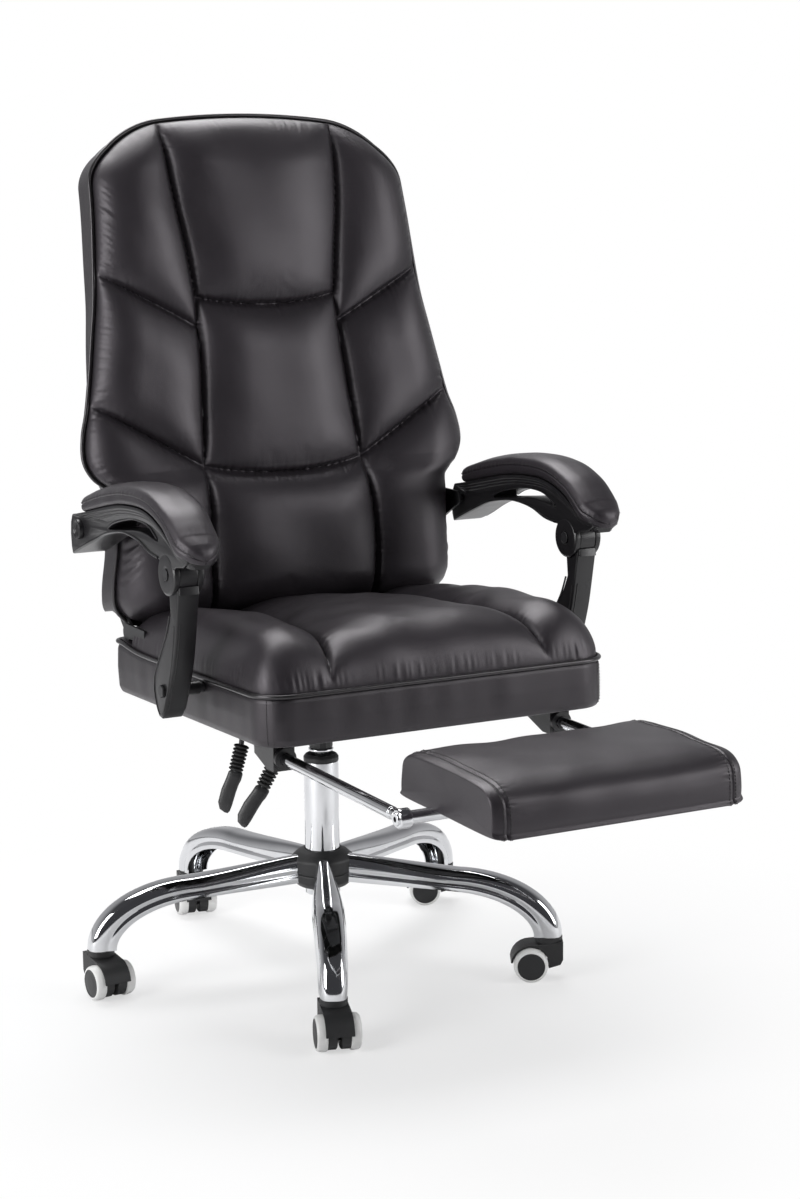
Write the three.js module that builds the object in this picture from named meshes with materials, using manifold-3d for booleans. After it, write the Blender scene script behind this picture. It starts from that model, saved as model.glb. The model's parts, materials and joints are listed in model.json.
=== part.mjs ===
import * as THREE from 'three';
import { mergeVertices } from 'three/addons/utils/BufferGeometryUtils.js';
import Module from 'manifold-3d';

// Reclining office chair with a pull-out footrest.
// Millimetres, +Z up, the sitter faces -Y and the floor is z = 0.
// The origin is the middle of the footprint. All pieces are placed from the column's axis.

// Clearances shared by all pieces
const touchGap = 0.3;
const runningGap = 1;
const overrun = 20;

// Place of the column in the footprint
const columnSide = 12;
const columnSetback = 222;

// Five-leg base
const legCount = 5;
const baseTurnDegrees = -23.7;
const baseReach = 332;
const legRootHeight = 145;
const legShoulderReach = 202;
const legShoulderHeight = 138;
const legRootWidth = 28;
const legShoulderWidth = 46;
const legTipWidth = 38;
const legRootDepth = 38;
const legShoulderDepth = 28;
const legTipDepth = 36;
const legWall = 2;
const legRunSteps = 2;
const legBendSteps = 6;
const legArchSteps = 6;
const legArchPower = 0.62;
const socketPlate = 3;
const socketRise = 26;
const socketFootRadius = 11;
const socketTopRadius = 7.5;

// Hub and column
const columnRadius = 25;
const columnWall = 1.5;
const columnTop = 300;
const columnFoot = 105;
const sleeveWall = 4;
const sleeveFoot = 121;
const sleeveTop = 166;
const coverRadius = 45;
const coverWall = 2.5;
const coverFoot = 117;
const coverParting = 138;
const coverShoulder = 158;
const coverTop = 171;
const coverChamfer = 9;
const coverLegClearance = 2;
const bushRise = 10;
const bushLength = 60;
const roundSteps = 20;
const rodSteps = 16;
const pinSteps = 12;

// Gas cylinder
const cylinderRadius = 14;
const cylinderFoot = 190;
const collarFoot = 322;
const collarTop = 358;
const collarRadius = 16;
const cylinderTaperRadius = 12.6;
const cylinderTop = 400;

// Twin-wheel casters
const casterHeight = 62;
const casterTrail = 26.5;
const wheelRadius = 24.5;
const wheelSides = 16;
const wheelInner = 2.6;
const wheelOuter = 30;
const wheelRimInset = 3;
const wheelDiscRadius = 19;
const wheelCapThickness = 2;
const axleRadius = 4;
const webThickness = 4;
const webRadius = 11;
const hoodHalfWidth = 19;
const hoodWall = 2.6;
const hoodClearance = 1.2;
const collarHeight = 8;
const hoodShoulderDrop = 5;
const hoodCheekFoot = 31;
const hoodTipHeight = 19;
const hoodTailDegrees = 6;
const stemRadius = 5;
const stemRise = 24;
const casterHeadings = [253.3, 152.3, 155, 260, 275];

// Seat
const seatTiltDegrees = 2.35;
const seatUnderside = 408.6;
const seatHalfWidth = 255;
const seatFront = 371;
const seatRear = 146;
const seatFrontCorner = 46;
const seatRearCorner = 26;
const seatBoxHeight = 65;
const seatBoxTuck = 4;
const seatCrown = 78;
const seatRearCrown = 40;
const seatEdgeRound = 74;
const seatSeamFront = 164;
const seatSeamRear = 112;
const seatSeamDepth = 38;
const seatSeamWidth = 20;
const pipingRadius = 3;
const pipingSides = 4;
const cornerSteps = 10;

// Seat mechanism and its levers
const mechanismHalfWidth = 64;
const mechanismFront = 130;
const mechanismRear = 96;
const mechanismFoot = 365;
const mechanismNose = 388;
const mechanismWall = 4;
const plateHalfWidth = 108;
const plateFront = 268;
const plateRear = 90;
const plateThickness = 4;
const socketRadius = 19;
const leverDrop = 5.1;
const leverRodRadius = 3.5;
const leverSide = 187;
const leverElbow = 12;
const heightLeverFront = 145;
const reclineLeverFront = 252;
const heightLeverLeanDegrees = 16;
const reclineLeverLeanDegrees = 31;
const bootDrop = 26.5;
const bootRadius = 7;
const bootWaistRadius = 5;
const bootLength = 36;
const bootRibs = 6;
const bootSides = 8;
const gripLength = 58;
const gripWidth = 20;
const gripThickness = 9;
const gripSides = 10;
const bearingHalfWidth = 7;
const bearingLength = 24;

// Footrest
const rodSide = 205;
const rodDrop = 11.1;
const rodRadius = 8;
const footrestPivot = 640;
const rodTail = 240;
const rodNeckLength = 14;
const rodNeckRadius = 6.5;
const lugRadius = 11;
const lugHalfWidth = 7;
const guideFront = 317;
const guideRear = 258;
const guideHalfWidth = 15;
const guideFootDrop = 16.5;
const guideFlangeInner = 150;
const guideFlangeThickness = 5;
const guideCollar = 6;
const crossTubeRadius = 8;
const padHalfWidth = 170;
const padFront = 148;
const padRear = 79;
const padRise = 66;
const padBoardThickness = 10;
const padBoardInset = 14;
const padBoardLift = 9;
const padFootLift = 2;
const saddleHalfWidth = 10;
const saddleSide = 110;

// Arm linkage: measured about the barrel at the front of each arm
const armSide = 297;
const barrelFront = 214;
const barrelHeight = 629;
const barrelRadius = 28;
const knuckleHalfWidth = 12;
const knuckleRadius = 27;
const armPinRadius = 4;
const armPinHeadRadius = 8;
const armPinHead = 1.5;
const postHalfWidth = 15;
const postPivotFront = 180;
const armRearPivotRise = 21;
const postPivotDrop = 10.5;
const postBossRadius = 13;
const postBossInner = 262.5;
const pivotBoltRadius = 5;
const boltFlangeRadius = 7;
const boltFlangeInner = 255.3;
const boltFlangeOuter = 262;
const boltRoot = 236;
const boltHeadRadius = 9;
const boltHeadThickness = 4;
const hexSides = 6;
const armFrameHalfWidth = 21;
const armSpan = 292;
const armRise = 77;
const armBoxInner = 270.5;
const armBoxOuter = 329;
const capRadius = 13;
const capThickness = 2;
const armPadHalfWidth = 32;
const armPadThickness = 29;
const armPadRear = 88;
const armTopSteps = 15;
const barrelSteps = 22;

// Backrest
const backFoot = 522;
const backRise = 688;
const backHalfWidth = 298;
const backFrontPlane = 105;
const backRake = 131;
const backTopCornerWidth = 137;
const backTopCornerHeight = 110;
const backFootCorner = 36;
const backCrown = 38;
const backLumbarCrown = 68;
const backEdgeRound = 62;
const backSeamDepth = 20;
const backSeamWidth = 15;
const backBoxDepth = 54;
const backRearInset = 30;
const backBoxTaper = 28;
const backRearCrown = 12;
const backSeamSide = 136;
const backRakeDegrees = 12.5;
const headSeamHeight = 955;
const lumbarSeamHeight = 719;
const upperDiagonalHeight = 913;
const seamSag = 13;
const diagonalClimb = 0.56;

// Recline hinges and arm brackets
const hingeSide = 244;
const hingeThickness = 4;
const hingeEyeRadius = 13;
const hingePinRadius = 5;
const hingeLeafFront = 45;
const hingeLeafRear = 64;
const hingeLeafDrop = 26;
const hingeLeafLift = 12;
const hingeStrapFront = 128;
const hingeStrapRear = 150;
const hingeStrapTop = 566;
const bracketInner = 265.6;
const bracketThickness = 4;
const bracketDrop = 38;
const bracketLift = 11;
const bracketRear = 158;
const bracketTongueRoot = 246;
const bracketTongueFront = 122;
const bracketTongueRear = 150;
const bracketPinRadius = 5;
const bracketPinReach = 24;
const openPivotClearance = 1;

// Outlines as shares of the sizes above
const armTopShares = [[1.075, 0.506], [0.87, 0.649], [0.654, 0.818], [0.459, 0.948], [0.253, 1],
  [0.116, 0.961], [-0.01, 0.818], [-0.099, 0.636], [-0.172, 0.468], [-0.238, 0.39]];
const armNoseShares = [[-0.238, 0.312], [-0.19, 0.208], [-0.113, 0.169], [-0.075, 0.091]];
const armRailShares = [[0.075, 0.208], [0.185, 0.253], [0.301, 0.377], [0.425, 0.429],
  [0.545, 0.416], [0.719, 0.299], [0.928, -0.013], [1.075, -0.247]];
const slotTopShares = [[0.682, 0.429], [0.596, 0.558], [0.425, 0.701], [0.305, 0.74], [0.185, 0.701],
  [0.089, 0.532]];
const slotFootShares = [[0.089, 0.506], [0.144, 0.519], [0.205, 0.558], [0.325, 0.571], [0.507, 0.494],
  [0.675, 0.416]];
const armBoxShares = [[0.87, 0.61], [1.075, 0.48], [1.075, -0.221], [1.007, -0.117], [0.863, 0.104]];
const postTopShares = [[-0.9, -0.63], [0.3, -0.63]];
const postFrontShares = [[-0.308, 0.597], [-0.264, 0.403], [-0.201, 0.214],
  [-0.101, 0.006], [0.013, -0.164], [0.075, -0.252]];
const postRearShares = [[0.088, -0.245], [0.157, -0.176], [0.226, -0.031], [0.208, 0.101],
  [0.094, 0.252], [0, 0.365], [-0.107, 0.503], [-0.189, 0.66]];
const padThicknessShares = [[0, 0.62, 0.93], [0.06, 0.84, 1], [0.2, 1, 1], [0.45, 1, 1], [0.62, 0.88, 1],
  [0.78, 0.72, 0.98], [0.9, 0.6, 0.9], [1, 0.22, 0.62]];
const padCrossShares = [[-0.8, 0], [-0.3, 0], [0.3, 0], [0.8, 0], [0.97, 0.14], [1, 0.36], [0.95, 0.64],
  [0.78, 0.86], [0.42, 0.98], [0, 1], [-0.42, 0.98], [-0.78, 0.86], [-0.95, 0.64], [-1, 0.36], [-0.97, 0.14]];
const cushionSectionShares = [[0.03, 0], [0.5, 0], [0.97, 0], [1, 0.12], [1, 0.5], [0.985, 0.78], [0.93, 0.93],
  [0.8, 0.985], [0.5, 1], [0.2, 0.985], [0.07, 0.92], [0.015, 0.76], [0, 0.5], [0, 0.12]];
const cushionEndShares = [[-1, 0.86], [-0.985, 0.95], [-0.93, 0.99], [-0.5, 1], [0.5, 1], [0.93, 0.99],
  [0.985, 0.95], [1, 0.86]];
const gripShares = [[0, 0.62, 0.8], [0.12, 0.7, 1], [0.45, 0.95, 0.95], [0.75, 1, 0.8],
  [0.93, 0.8, 0.6], [1, 0.45, 0.35]];
const backShares = [[0, 0.879, 0.115], [0.055, 0.886, 0.069], [0.131, 0.874, 0.012], [0.201, 0.874, 0],
  [0.238, 0.876, 0.018], [0.256, 0.912, 0.045], [0.276, 0.966, 0.099], [0.31, 1, 0.16], [0.36, 0.99, 0.229],
  [0.404, 0.96, 0.29],
  [0.477, 0.926, 0.366], [0.549, 0.896, 0.45], [0.622, 0.866, 0.534], [0.695, 0.849, 0.611],
  [0.811, 0.829, 0.733], [0.913, 0.819, 0.863], [1, 0.815, 1]];
const backTaperShares = [[0, 0], [0.21, 0], [0.235, 0.02], [0.264, 0.5], [0.31, 1], [0.4, 0.72],
  [0.54, 0.34], [0.73, 0.08], [1, 0]];
const backSeamShares = [[0, 0.941], [0.113, 0.956], [0.279, 0.912], [0.413, 0.857], [0.571, 0.809],
  [0.695, 0.842], [0.826, 0.934], [1, 1]];
const backRowShares = [0, 0.02, 0.055, 0.1, 0.145, 0.19, 0.232, 0.264, 0.286, 0.31, 0.345, 0.39, 0.44,
  0.49, 0.535, 0.5683, 0.598, 0.6294, 0.66, 0.7, 0.75, 0.8, 0.845, 0.885, 0.92, 0.95, 0.975, 0.992, 1];

const degree = Math.PI / 180;
const wasm = await Module();
wasm.setup();

// Colours and finishes
const finish = (color, roughness, metalness) => ({ color, roughness, metalness });
const leather = finish(0x3a3739, 0.5, 0);
const pipingLeather = finish(0x1d1c1d, 0.42, 0);
const armPlastic = finish(0x2e2e30, 0.55, 0);
const hubPlastic = finish(0x232324, 0.5, 0);
const chrome = finish(0xd8dadc, 0.08, 1);
const paintedSteel = finish(0x1f1f20, 0.45, 0.6);
const wheelTread = finish(0xdcdcda, 0.4, 0);
const plywood = finish(0x9a7b55, 0.8, 0);
const rubber = finish(0x151515, 0.6, 0);

// Closed bodies: a surface as a body that can be joined or cut, and back to a surface
function body(geometry) {
  const plain = geometry.index ? geometry.toNonIndexed() : geometry.clone();
  plain.deleteAttribute('normal');
  plain.deleteAttribute('uv');
  const merged = mergeVertices(plain, touchGap / 1000);
  return new wasm.Manifold(new wasm.Mesh({
    numProp: 3,
    vertProperties: new Float32Array(merged.attributes.position.array),
    triVerts: new Uint32Array(merged.index.array),
  }));
}

function surface(manifold) {
  const mesh = manifold.getMesh();
  const geometry = new THREE.BufferGeometry();
  geometry.setAttribute('position', new THREE.BufferAttribute(mesh.vertProperties, 3));
  geometry.setIndex(new THREE.BufferAttribute(mesh.triVerts, 1));
  geometry.computeVertexNormals();
  return geometry;
}

const joined = (...bodies) => bodies.reduce((whole, next) => whole.add(next));
const cut = (whole, ...tools) => tools.reduce((rest, tool) => rest.subtract(tool), whole);

// Round bar along X, Y or Z between two stations
function bar(axis, radius, from, to, centre = [0, 0], steps = roundSteps) {
  const geometry = new THREE.CylinderGeometry(radius, radius, to - from, steps);
  geometry.translate(0, (from + to) / 2, 0);
  if (axis === 'x') {
    geometry.rotateZ(-Math.PI / 2);
    geometry.translate(0, centre[0], centre[1]);
  } else if (axis === 'z') {
    geometry.rotateX(Math.PI / 2);
    geometry.translate(centre[0], centre[1], 0);
  } else {
    geometry.translate(centre[0], 0, centre[1]);
  }
  return geometry;
}

function block(x0, x1, y0, y1, z0, z1) {
  const geometry = new THREE.BoxGeometry(x1 - x0, y1 - y0, z1 - z0);
  geometry.translate((x0 + x1) / 2, (y0 + y1) / 2, (z0 + z1) / 2);
  return geometry;
}

// Turned piece about Z from a profile of [radius, height] points
function turned(profile, steps = roundSteps) {
  const geometry = new THREE.LatheGeometry(profile.map(([r, h]) => new THREE.Vector2(r, h)), steps);
  geometry.rotateX(Math.PI / 2);
  return geometry;
}

// Plate with its outline in the Y-Z plane and its thickness along X
function sidePlate(shape, x0, x1, curveSegments = 8) {
  const geometry = new THREE.ExtrudeGeometry(shape, { depth: x1 - x0, bevelEnabled: false, curveSegments });
  return geometry.applyMatrix4(sideways(x0));
}

// Outline through points
const polygon = (points) => new THREE.Shape(points.map(([a, b]) => new THREE.Vector2(a, b)));

// Points of a smooth line through the given ones
function smooth(points, steps) {
  const line = new THREE.SplineCurve(points.map(([a, b]) => new THREE.Vector2(a, b)));
  return line.getPoints(steps).map((p) => [p.x, p.y]);
}

function ringOf(count, halfX, halfY) {
  return Array.from({ length: count }, (_, k) => [
    halfX * Math.cos((k / count) * 2 * Math.PI), halfY * Math.sin((k / count) * 2 * Math.PI)]);
}

const sides = [['left', 1], ['right', -1]];
const span = (a, b) => [Math.min(a, b), Math.max(a, b)];
const sideways = (x) => new THREE.Matrix4().makeBasis(
  new THREE.Vector3(0, 1, 0), new THREE.Vector3(0, 0, 1), new THREE.Vector3(1, 0, 0)).setPosition(x, 0, 0);

// Closed body through flat sections, each placed by its own matrix
function loft(sections, matrices) {
  const count = sections[0].length;
  const positions = [];
  sections.forEach((section, i) => section.forEach(([x, y]) => {
    positions.push(...new THREE.Vector3(x, y, 0).applyMatrix4(matrices[i]).toArray());
  }));
  const indices = [];
  for (let i = 0; i + 1 < sections.length; i += 1) {
    for (let k = 0; k < count; k += 1) {
      const a = i * count + k;
      const b = i * count + ((k + 1) % count);
      indices.push(a, b, b + count, a, b + count, a + count);
    }
  }
  const flat = (section) => section.map(([x, y]) => new THREE.Vector2(x, y));
  const end = (sections.length - 1) * count;
  for (const [a, b, c] of THREE.ShapeUtils.triangulateShape(flat(sections[0]), [])) indices.push(a, c, b);
  for (const [a, b, c] of THREE.ShapeUtils.triangulateShape(flat(sections.at(-1)), [])) {
    indices.push(end + a, end + b, end + c);
  }
  const geometry = new THREE.BufferGeometry();
  geometry.setAttribute('position', new THREE.Float32BufferAttribute(positions, 3));
  geometry.setIndex(indices);
  geometry.computeVertexNormals();
  return geometry;
}

// Points round the rim of a grid: foot row, right side, top row, left side
function rimPlaces(rows, columns) {
  const places = [];
  for (let i = 0; i < columns; i += 1) places.push([i, 0]);
  for (let j = 0; j < rows; j += 1) places.push([columns, j]);
  for (let i = columns; i > 0; i -= 1) places.push([i, rows]);
  for (let j = rows; j > 0; j -= 1) places.push([0, j]);
  return places;
}

// Face across a rim, row by row, counter-clockwise as the rim runs
function acrossRim(rows, columns) {
  const count = 2 * (rows + columns);
  const right = (j) => columns + j;
  const left = (j) => (count - j) % count;
  const middle = columns / 2;
  const triangles = [];
  for (let i = 0; i < columns; i += 1) {
    triangles.push([i, i + 1, i < middle ? left(1) : right(1)]);
    const k = right(rows) + i;
    triangles.push([k, k + 1, i < middle ? right(rows - 1) : left(rows - 1)]);
  }
  triangles.push([middle, right(1), left(1)]);
  triangles.push([right(rows) + middle, left(rows - 1), right(rows - 1)]);
  for (let j = 1; j < rows - 1; j += 1) {
    triangles.push([left(j), right(j), right(j + 1)]);
    triangles.push([left(j), right(j + 1), left(j + 1)]);
  }
  return triangles;
}

function indexed(points, indices) {
  const geometry = new THREE.BufferGeometry();
  geometry.setAttribute('position', new THREE.Float32BufferAttribute(points.flatMap((p) => p.toArray()), 3));
  geometry.setIndex(indices);
  geometry.computeVertexNormals();
  return geometry;
}

// Cushion: a full grid of points in front, closed by a plain face behind
function pillow(rows, columns, front, behind) {
  const points = [];
  const indices = [];
  const width = columns + 1;
  for (let j = 0; j <= rows; j += 1) {
    for (let i = 0; i <= columns; i += 1) points.push(front(i, j));
  }
  for (let j = 0; j < rows; j += 1) {
    for (let i = 0; i < columns; i += 1) {
      const a = j * width + i;
      const c = a + width;
      indices.push(a, a + 1, c + 1, a, c + 1, c);
    }
  }
  const rim = rimPlaces(rows, columns);
  const rear = points.length;
  rim.forEach(([i, j]) => points.push(behind(i, j)));
  rim.forEach(([i, j], k) => {
    const [m, n] = rim[(k + 1) % rim.length];
    const [a, b] = [j * width + i, n * width + m];
    const next = rear + ((k + 1) % rim.length);
    indices.push(a, rear + k, next, a, next, b);
  });
  for (const [a, b, c] of acrossRim(rows, columns)) indices.push(rear + a, rear + c, rear + b);
  return indexed(points, indices);
}

// Body through rims of the same grid, closed by plain faces at both ends
function rimStack(rows, columns, rings) {
  const count = 2 * (rows + columns);
  const indices = [];
  for (let r = 0; r + 1 < rings.length; r += 1) {
    for (let k = 0; k < count; k += 1) {
      const a = r * count + k;
      const b = r * count + ((k + 1) % count);
      indices.push(a, b + count, b, a, a + count, b + count);
    }
  }
  const last = (rings.length - 1) * count;
  for (const [a, b, c] of acrossRim(rows, columns)) {
    indices.push(a, b, c, last + a, last + c, last + b);
  }
  return indexed(rings.flat(), indices);
}

// Endless cord through points, each with its outward direction
function cordLoop(points, outward, radius) {
  const positions = [];
  const indices = [];
  const count = points.length;
  points.forEach((point, i) => {
    const along = points[(i + 1) % count].clone().sub(points[(i + count - 1) % count]).normalize();
    const side = outward[i].clone().addScaledVector(along, -outward[i].dot(along)).normalize();
    const up = new THREE.Vector3().crossVectors(along, side);
    for (let k = 0; k < pipingSides; k += 1) {
      const angle = (k / pipingSides) * 2 * Math.PI;
      positions.push(...point.clone()
        .addScaledVector(side, radius * Math.cos(angle))
        .addScaledVector(up, radius * Math.sin(angle)).toArray());
    }
  });
  for (let i = 0; i < count; i += 1) {
    for (let k = 0; k < pipingSides; k += 1) {
      const a = i * pipingSides + k;
      const b = i * pipingSides + ((k + 1) % pipingSides);
      const c = ((i + 1) % count) * pipingSides + k;
      const d = ((i + 1) % count) * pipingSides + ((k + 1) % pipingSides);
      indices.push(a, b, d, a, d, c);
    }
  }
  const geometry = new THREE.BufferGeometry();
  geometry.setAttribute('position', new THREE.Float32BufferAttribute(positions, 3));
  geometry.setIndex(indices);
  geometry.computeVertexNormals();
  return geometry;
}

const lerp = THREE.MathUtils.lerp;
const clamp01 = (t) => Math.min(1, Math.max(0, t));
const easeEnds = (t) => (1 - Math.cos(Math.PI * t)) / 2;
const quarterRound = (distance, reach) => Math.sqrt(1 - (1 - clamp01(distance / reach)) ** 2);
const valley = (distance, reach) => Math.exp(-((distance / reach) ** 2));

// Value of a smooth curve through rows of shares, looked up by the first share
function follow(rows, at, column) {
  const last = rows.length - 2;
  let k = 0;
  while (k < last && at > rows[k + 1][0]) k += 1;
  const [r0, r1, r2, r3] = [rows[Math.max(0, k - 1)], rows[k], rows[k + 1], rows[Math.min(last + 1, k + 2)]];
  const span = r2[0] - r1[0];
  const t = clamp01((at - r1[0]) / span);
  const slopeIn = k > 0 ? (r2[column] - r0[column]) / (r2[0] - r0[0]) : (r2[column] - r1[column]) / span;
  const slopeOut = k < last ? (r3[column] - r1[column]) / (r3[0] - r1[0]) : (r2[column] - r1[column]) / span;
  const bend = r1[column] * (2 * t ** 3 - 3 * t ** 2 + 1) + r2[column] * (3 * t ** 2 - 2 * t ** 3);
  return bend + span * (slopeIn * (t ** 3 - 2 * t ** 2 + t) + slopeOut * (t ** 3 - t ** 2));
}

const chair = new THREE.Group();
const column = new THREE.Group();
column.position.set(columnSide, columnSetback, 0);
chair.add(column);

function add(name, geometry, look, parent = column) {
  const mesh = new THREE.Mesh(geometry, new THREE.MeshStandardMaterial(look));
  mesh.name = name;
  parent.add(mesh);
  return mesh;
}

// Pressed legs: an inverted channel that runs out level and then bends down to its caster
const legFoot = casterHeight + runningGap;
const stemBoreRadius = stemRadius + touchGap;

function legStation(share, bend) {
  const lean = bend
    ? Math.atan2((legShoulderHeight - legFoot) * Math.sin(share * Math.PI / 2),
      (baseReach - legShoulderReach) * Math.cos(share * Math.PI / 2))
    : Math.atan2(legRootHeight - legShoulderHeight, legShoulderReach);
  const root = columnRadius + touchGap + sleeveWall + touchGap - (legRootDepth / 2) * Math.sin(lean);
  return {
    lean,
    reach: bend
      ? lerp(legShoulderReach, baseReach, Math.sin(share * Math.PI / 2))
      : lerp(root, legShoulderReach, share),
    height: bend
      ? lerp(legFoot, legShoulderHeight, Math.cos(share * Math.PI / 2))
      : lerp(legRootHeight, legShoulderHeight, share),
    width: bend
      ? lerp(legShoulderWidth, legTipWidth, share)
      : lerp(legRootWidth, legShoulderWidth, easeEnds(share)),
    depth: bend
      ? lerp(legShoulderDepth, legTipDepth, share)
      : lerp(legRootDepth, legShoulderDepth, easeEnds(share)),
  };
}

function arch(width, depth, foot, rise, steps) {
  const points = [];
  for (let k = 0; k <= steps; k += 1) {
    const angle = (k / steps) * Math.PI;
    const across = Math.sign(Math.cos(angle)) * Math.abs(Math.cos(angle)) ** legArchPower;
    points.push([(width / 2) * (Math.abs(across) < touchGap / width ? 0 : across),
      foot + rise * Math.sin(angle) ** legArchPower]);
  }
  return points;
}

function legMatrix({ lean, reach, height }) {
  const matrix = new THREE.Matrix4().makeBasis(
    new THREE.Vector3(1, 0, 0),
    new THREE.Vector3(0, -Math.sin(lean), Math.cos(lean)),
    new THREE.Vector3(0, -Math.cos(lean), -Math.sin(lean)));
  return matrix.setPosition(0, -reach, height);
}

const legStations = [];
for (let i = 0; i < legRunSteps; i += 1) legStations.push(legStation(i / legRunSteps, false));
for (let i = 0; i <= legBendSteps; i += 1) legStations.push(legStation(i / legBendSteps, true));

function legGeometry() {
  const sections = legStations.map(({ width, depth }) => [
    ...arch(width, depth, -depth / 2, depth, legArchSteps),
    ...arch(width - 2 * legWall, depth, -depth / 2, depth - legWall, legArchSteps).reverse(),
  ]);
  const tip = legStations.at(-1);
  const tipSection = arch(
    tip.width - legWall, tip.depth, -tip.depth / 2, tip.depth - legWall / 2, legArchSteps);
  const floorPlate = loft([tipSection, tipSection],
    [legMatrix({ ...tip, height: legFoot + socketPlate }), legMatrix(tip)]);
  const channel = body(loft(sections, legStations.map(legMatrix)));
  const cone = turned([
    [0, legFoot],
    [socketFootRadius, legFoot],
    [socketFootRadius, legFoot + socketPlate],
    [socketTopRadius, legFoot + socketRise],
    [0, legFoot + socketRise],
  ], pinSteps);
  cone.translate(0, -baseReach, 0);
  const stemBore = bar('z', stemBoreRadius, legFoot - overrun, legFoot + stemRise + runningGap,
    [0, -baseReach], pinSteps);
  return surface(cut(joined(channel, body(floorPlate), body(cone)), body(stemBore)));
}

// Twin-wheel caster: a hooded housing on its stem, with a web and axle between the wheels
const wheelCentreHeight = wheelRadius * Math.cos(Math.PI / wheelSides);
const hoodInnerRadius = wheelRadius + hoodClearance;
const hoodOuterRadius = hoodInnerRadius + hoodWall;

function housingGeometry() {
  const at = (angle, radius) => [
    casterTrail + radius * Math.cos(angle), wheelCentreHeight + radius * Math.sin(angle)];
  const arc = (radius, from, to, steps) => Array.from({ length: steps + 1 },
    (_, k) => at(lerp(from, to, k / steps), radius));
  const tail = hoodTailDegrees * degree;
  const cheek = Math.PI - Math.asin((hoodTipHeight - wheelCentreHeight) / hoodInnerRadius);
  const hood = polygon([
    ...arc(hoodOuterRadius, tail, Math.PI / 2, 6),
    [-hoodHalfWidth, casterHeight - hoodShoulderDrop],
    [-hoodHalfWidth, hoodCheekFoot],
    [-hoodHalfWidth * 0.8, lerp(hoodCheekFoot, hoodTipHeight, 0.6)],
    ...arc(hoodInnerRadius, cheek, tail, 10),
  ]);
  const hoodBody = body(sidePlate(hood, -hoodHalfWidth, hoodHalfWidth));
  const web = polygon([
    ...arc(webRadius, Math.PI * 1.1, Math.PI * 2.25, 6),
    at(Math.PI / 3, hoodInnerRadius + hoodWall / 2),
    at(Math.PI * 0.62, hoodInnerRadius + hoodWall / 2),
    at(Math.PI * 0.85, hoodInnerRadius + hoodWall / 2),
  ]);
  const webBody = body(sidePlate(web, -webThickness / 2, webThickness / 2));
  const axleEnd = wheelOuter - wheelCapThickness - runningGap;
  const axle = body(bar('x', axleRadius, -axleEnd, axleEnd, [casterTrail, wheelCentreHeight], 10));
  const collar = body(bar('z', hoodHalfWidth, casterHeight - collarHeight, casterHeight, [0, 0], rodSteps));
  const stem = body(bar('z', stemRadius, casterHeight - collarHeight, casterHeight + stemRise, [0, 0], 10));
  return surface(joined(hoodBody, webBody, axle, collar, stem));
}

function wheelGeometry() {
  const profile = [
    [0, wheelOuter],
    [wheelDiscRadius, wheelOuter],
    [wheelRadius, wheelOuter - 2 * wheelRimInset],
    [wheelRadius, wheelInner],
    [axleRadius + touchGap, wheelInner],
    [axleRadius + touchGap, wheelOuter - wheelCapThickness],
    [0, wheelOuter - wheelCapThickness],
  ].reverse();
  const geometry = turned(profile, wheelSides);
  geometry.rotateZ(Math.PI / wheelSides);
  geometry.rotateY(Math.PI / 2);
  return geometry;
}

const legShape = legGeometry();
const housingShape = housingGeometry();
const wheelShape = wheelGeometry();
for (let i = 0; i < legCount; i += 1) {
  const turn = (baseTurnDegrees + (i * 360) / legCount) * degree;
  const arm = new THREE.Group();
  arm.rotation.z = turn;
  column.add(arm);
  add(`leg_${i + 1}`, legShape, chrome, arm);
  const caster = new THREE.Group();
  caster.position.set(baseReach * Math.sin(turn), -baseReach * Math.cos(turn), 0);
  caster.rotation.z = casterHeadings[i % casterHeadings.length] * degree - Math.PI / 2;
  column.add(caster);
  add(`caster_${i + 1}_housing`, housingShape, hubPlastic, caster);
  const rightWheel = add(`caster_${i + 1}_wheel_right`, wheelShape, wheelTread, caster);
  rightWheel.position.set(0, casterTrail, wheelCentreHeight);
  const leftWheel = add(`caster_${i + 1}_wheel_left`, wheelShape, wheelTread, caster);
  leftWheel.position.set(0, casterTrail, wheelCentreHeight);
  leftWheel.rotation.z = Math.PI;
}

// Hub: welded sleeve and a two-part moulded cover with an opening for each leg
const sleeveInnerRadius = columnRadius + touchGap;
add('hub_sleeve', turned([
  [sleeveInnerRadius, sleeveFoot],
  [sleeveInnerRadius + sleeveWall, sleeveFoot],
  [sleeveInnerRadius + sleeveWall, sleeveTop],
  [sleeveInnerRadius, sleeveTop],
  [sleeveInnerRadius, sleeveFoot],
]), chrome);

function legOpenings() {
  const root = legStations[0];
  const grow = 2 * coverLegClearance;
  const section = arch(root.width + grow, root.depth + grow, -root.depth / 2 - coverLegClearance,
    root.depth + grow, legArchSteps);
  const tools = [];
  for (let i = 0; i < legCount; i += 1) {
    const start = legMatrix({ ...root, lean: 0, reach: sleeveInnerRadius + sleeveWall - legWall });
    const end = legMatrix({ ...root, lean: 0, reach: coverRadius + overrun });
    const tool = loft([section, section], [start, end]);
    tool.rotateZ((baseTurnDegrees + (i * 360) / legCount) * degree);
    tools.push(body(tool));
  }
  return tools;
}

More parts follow.
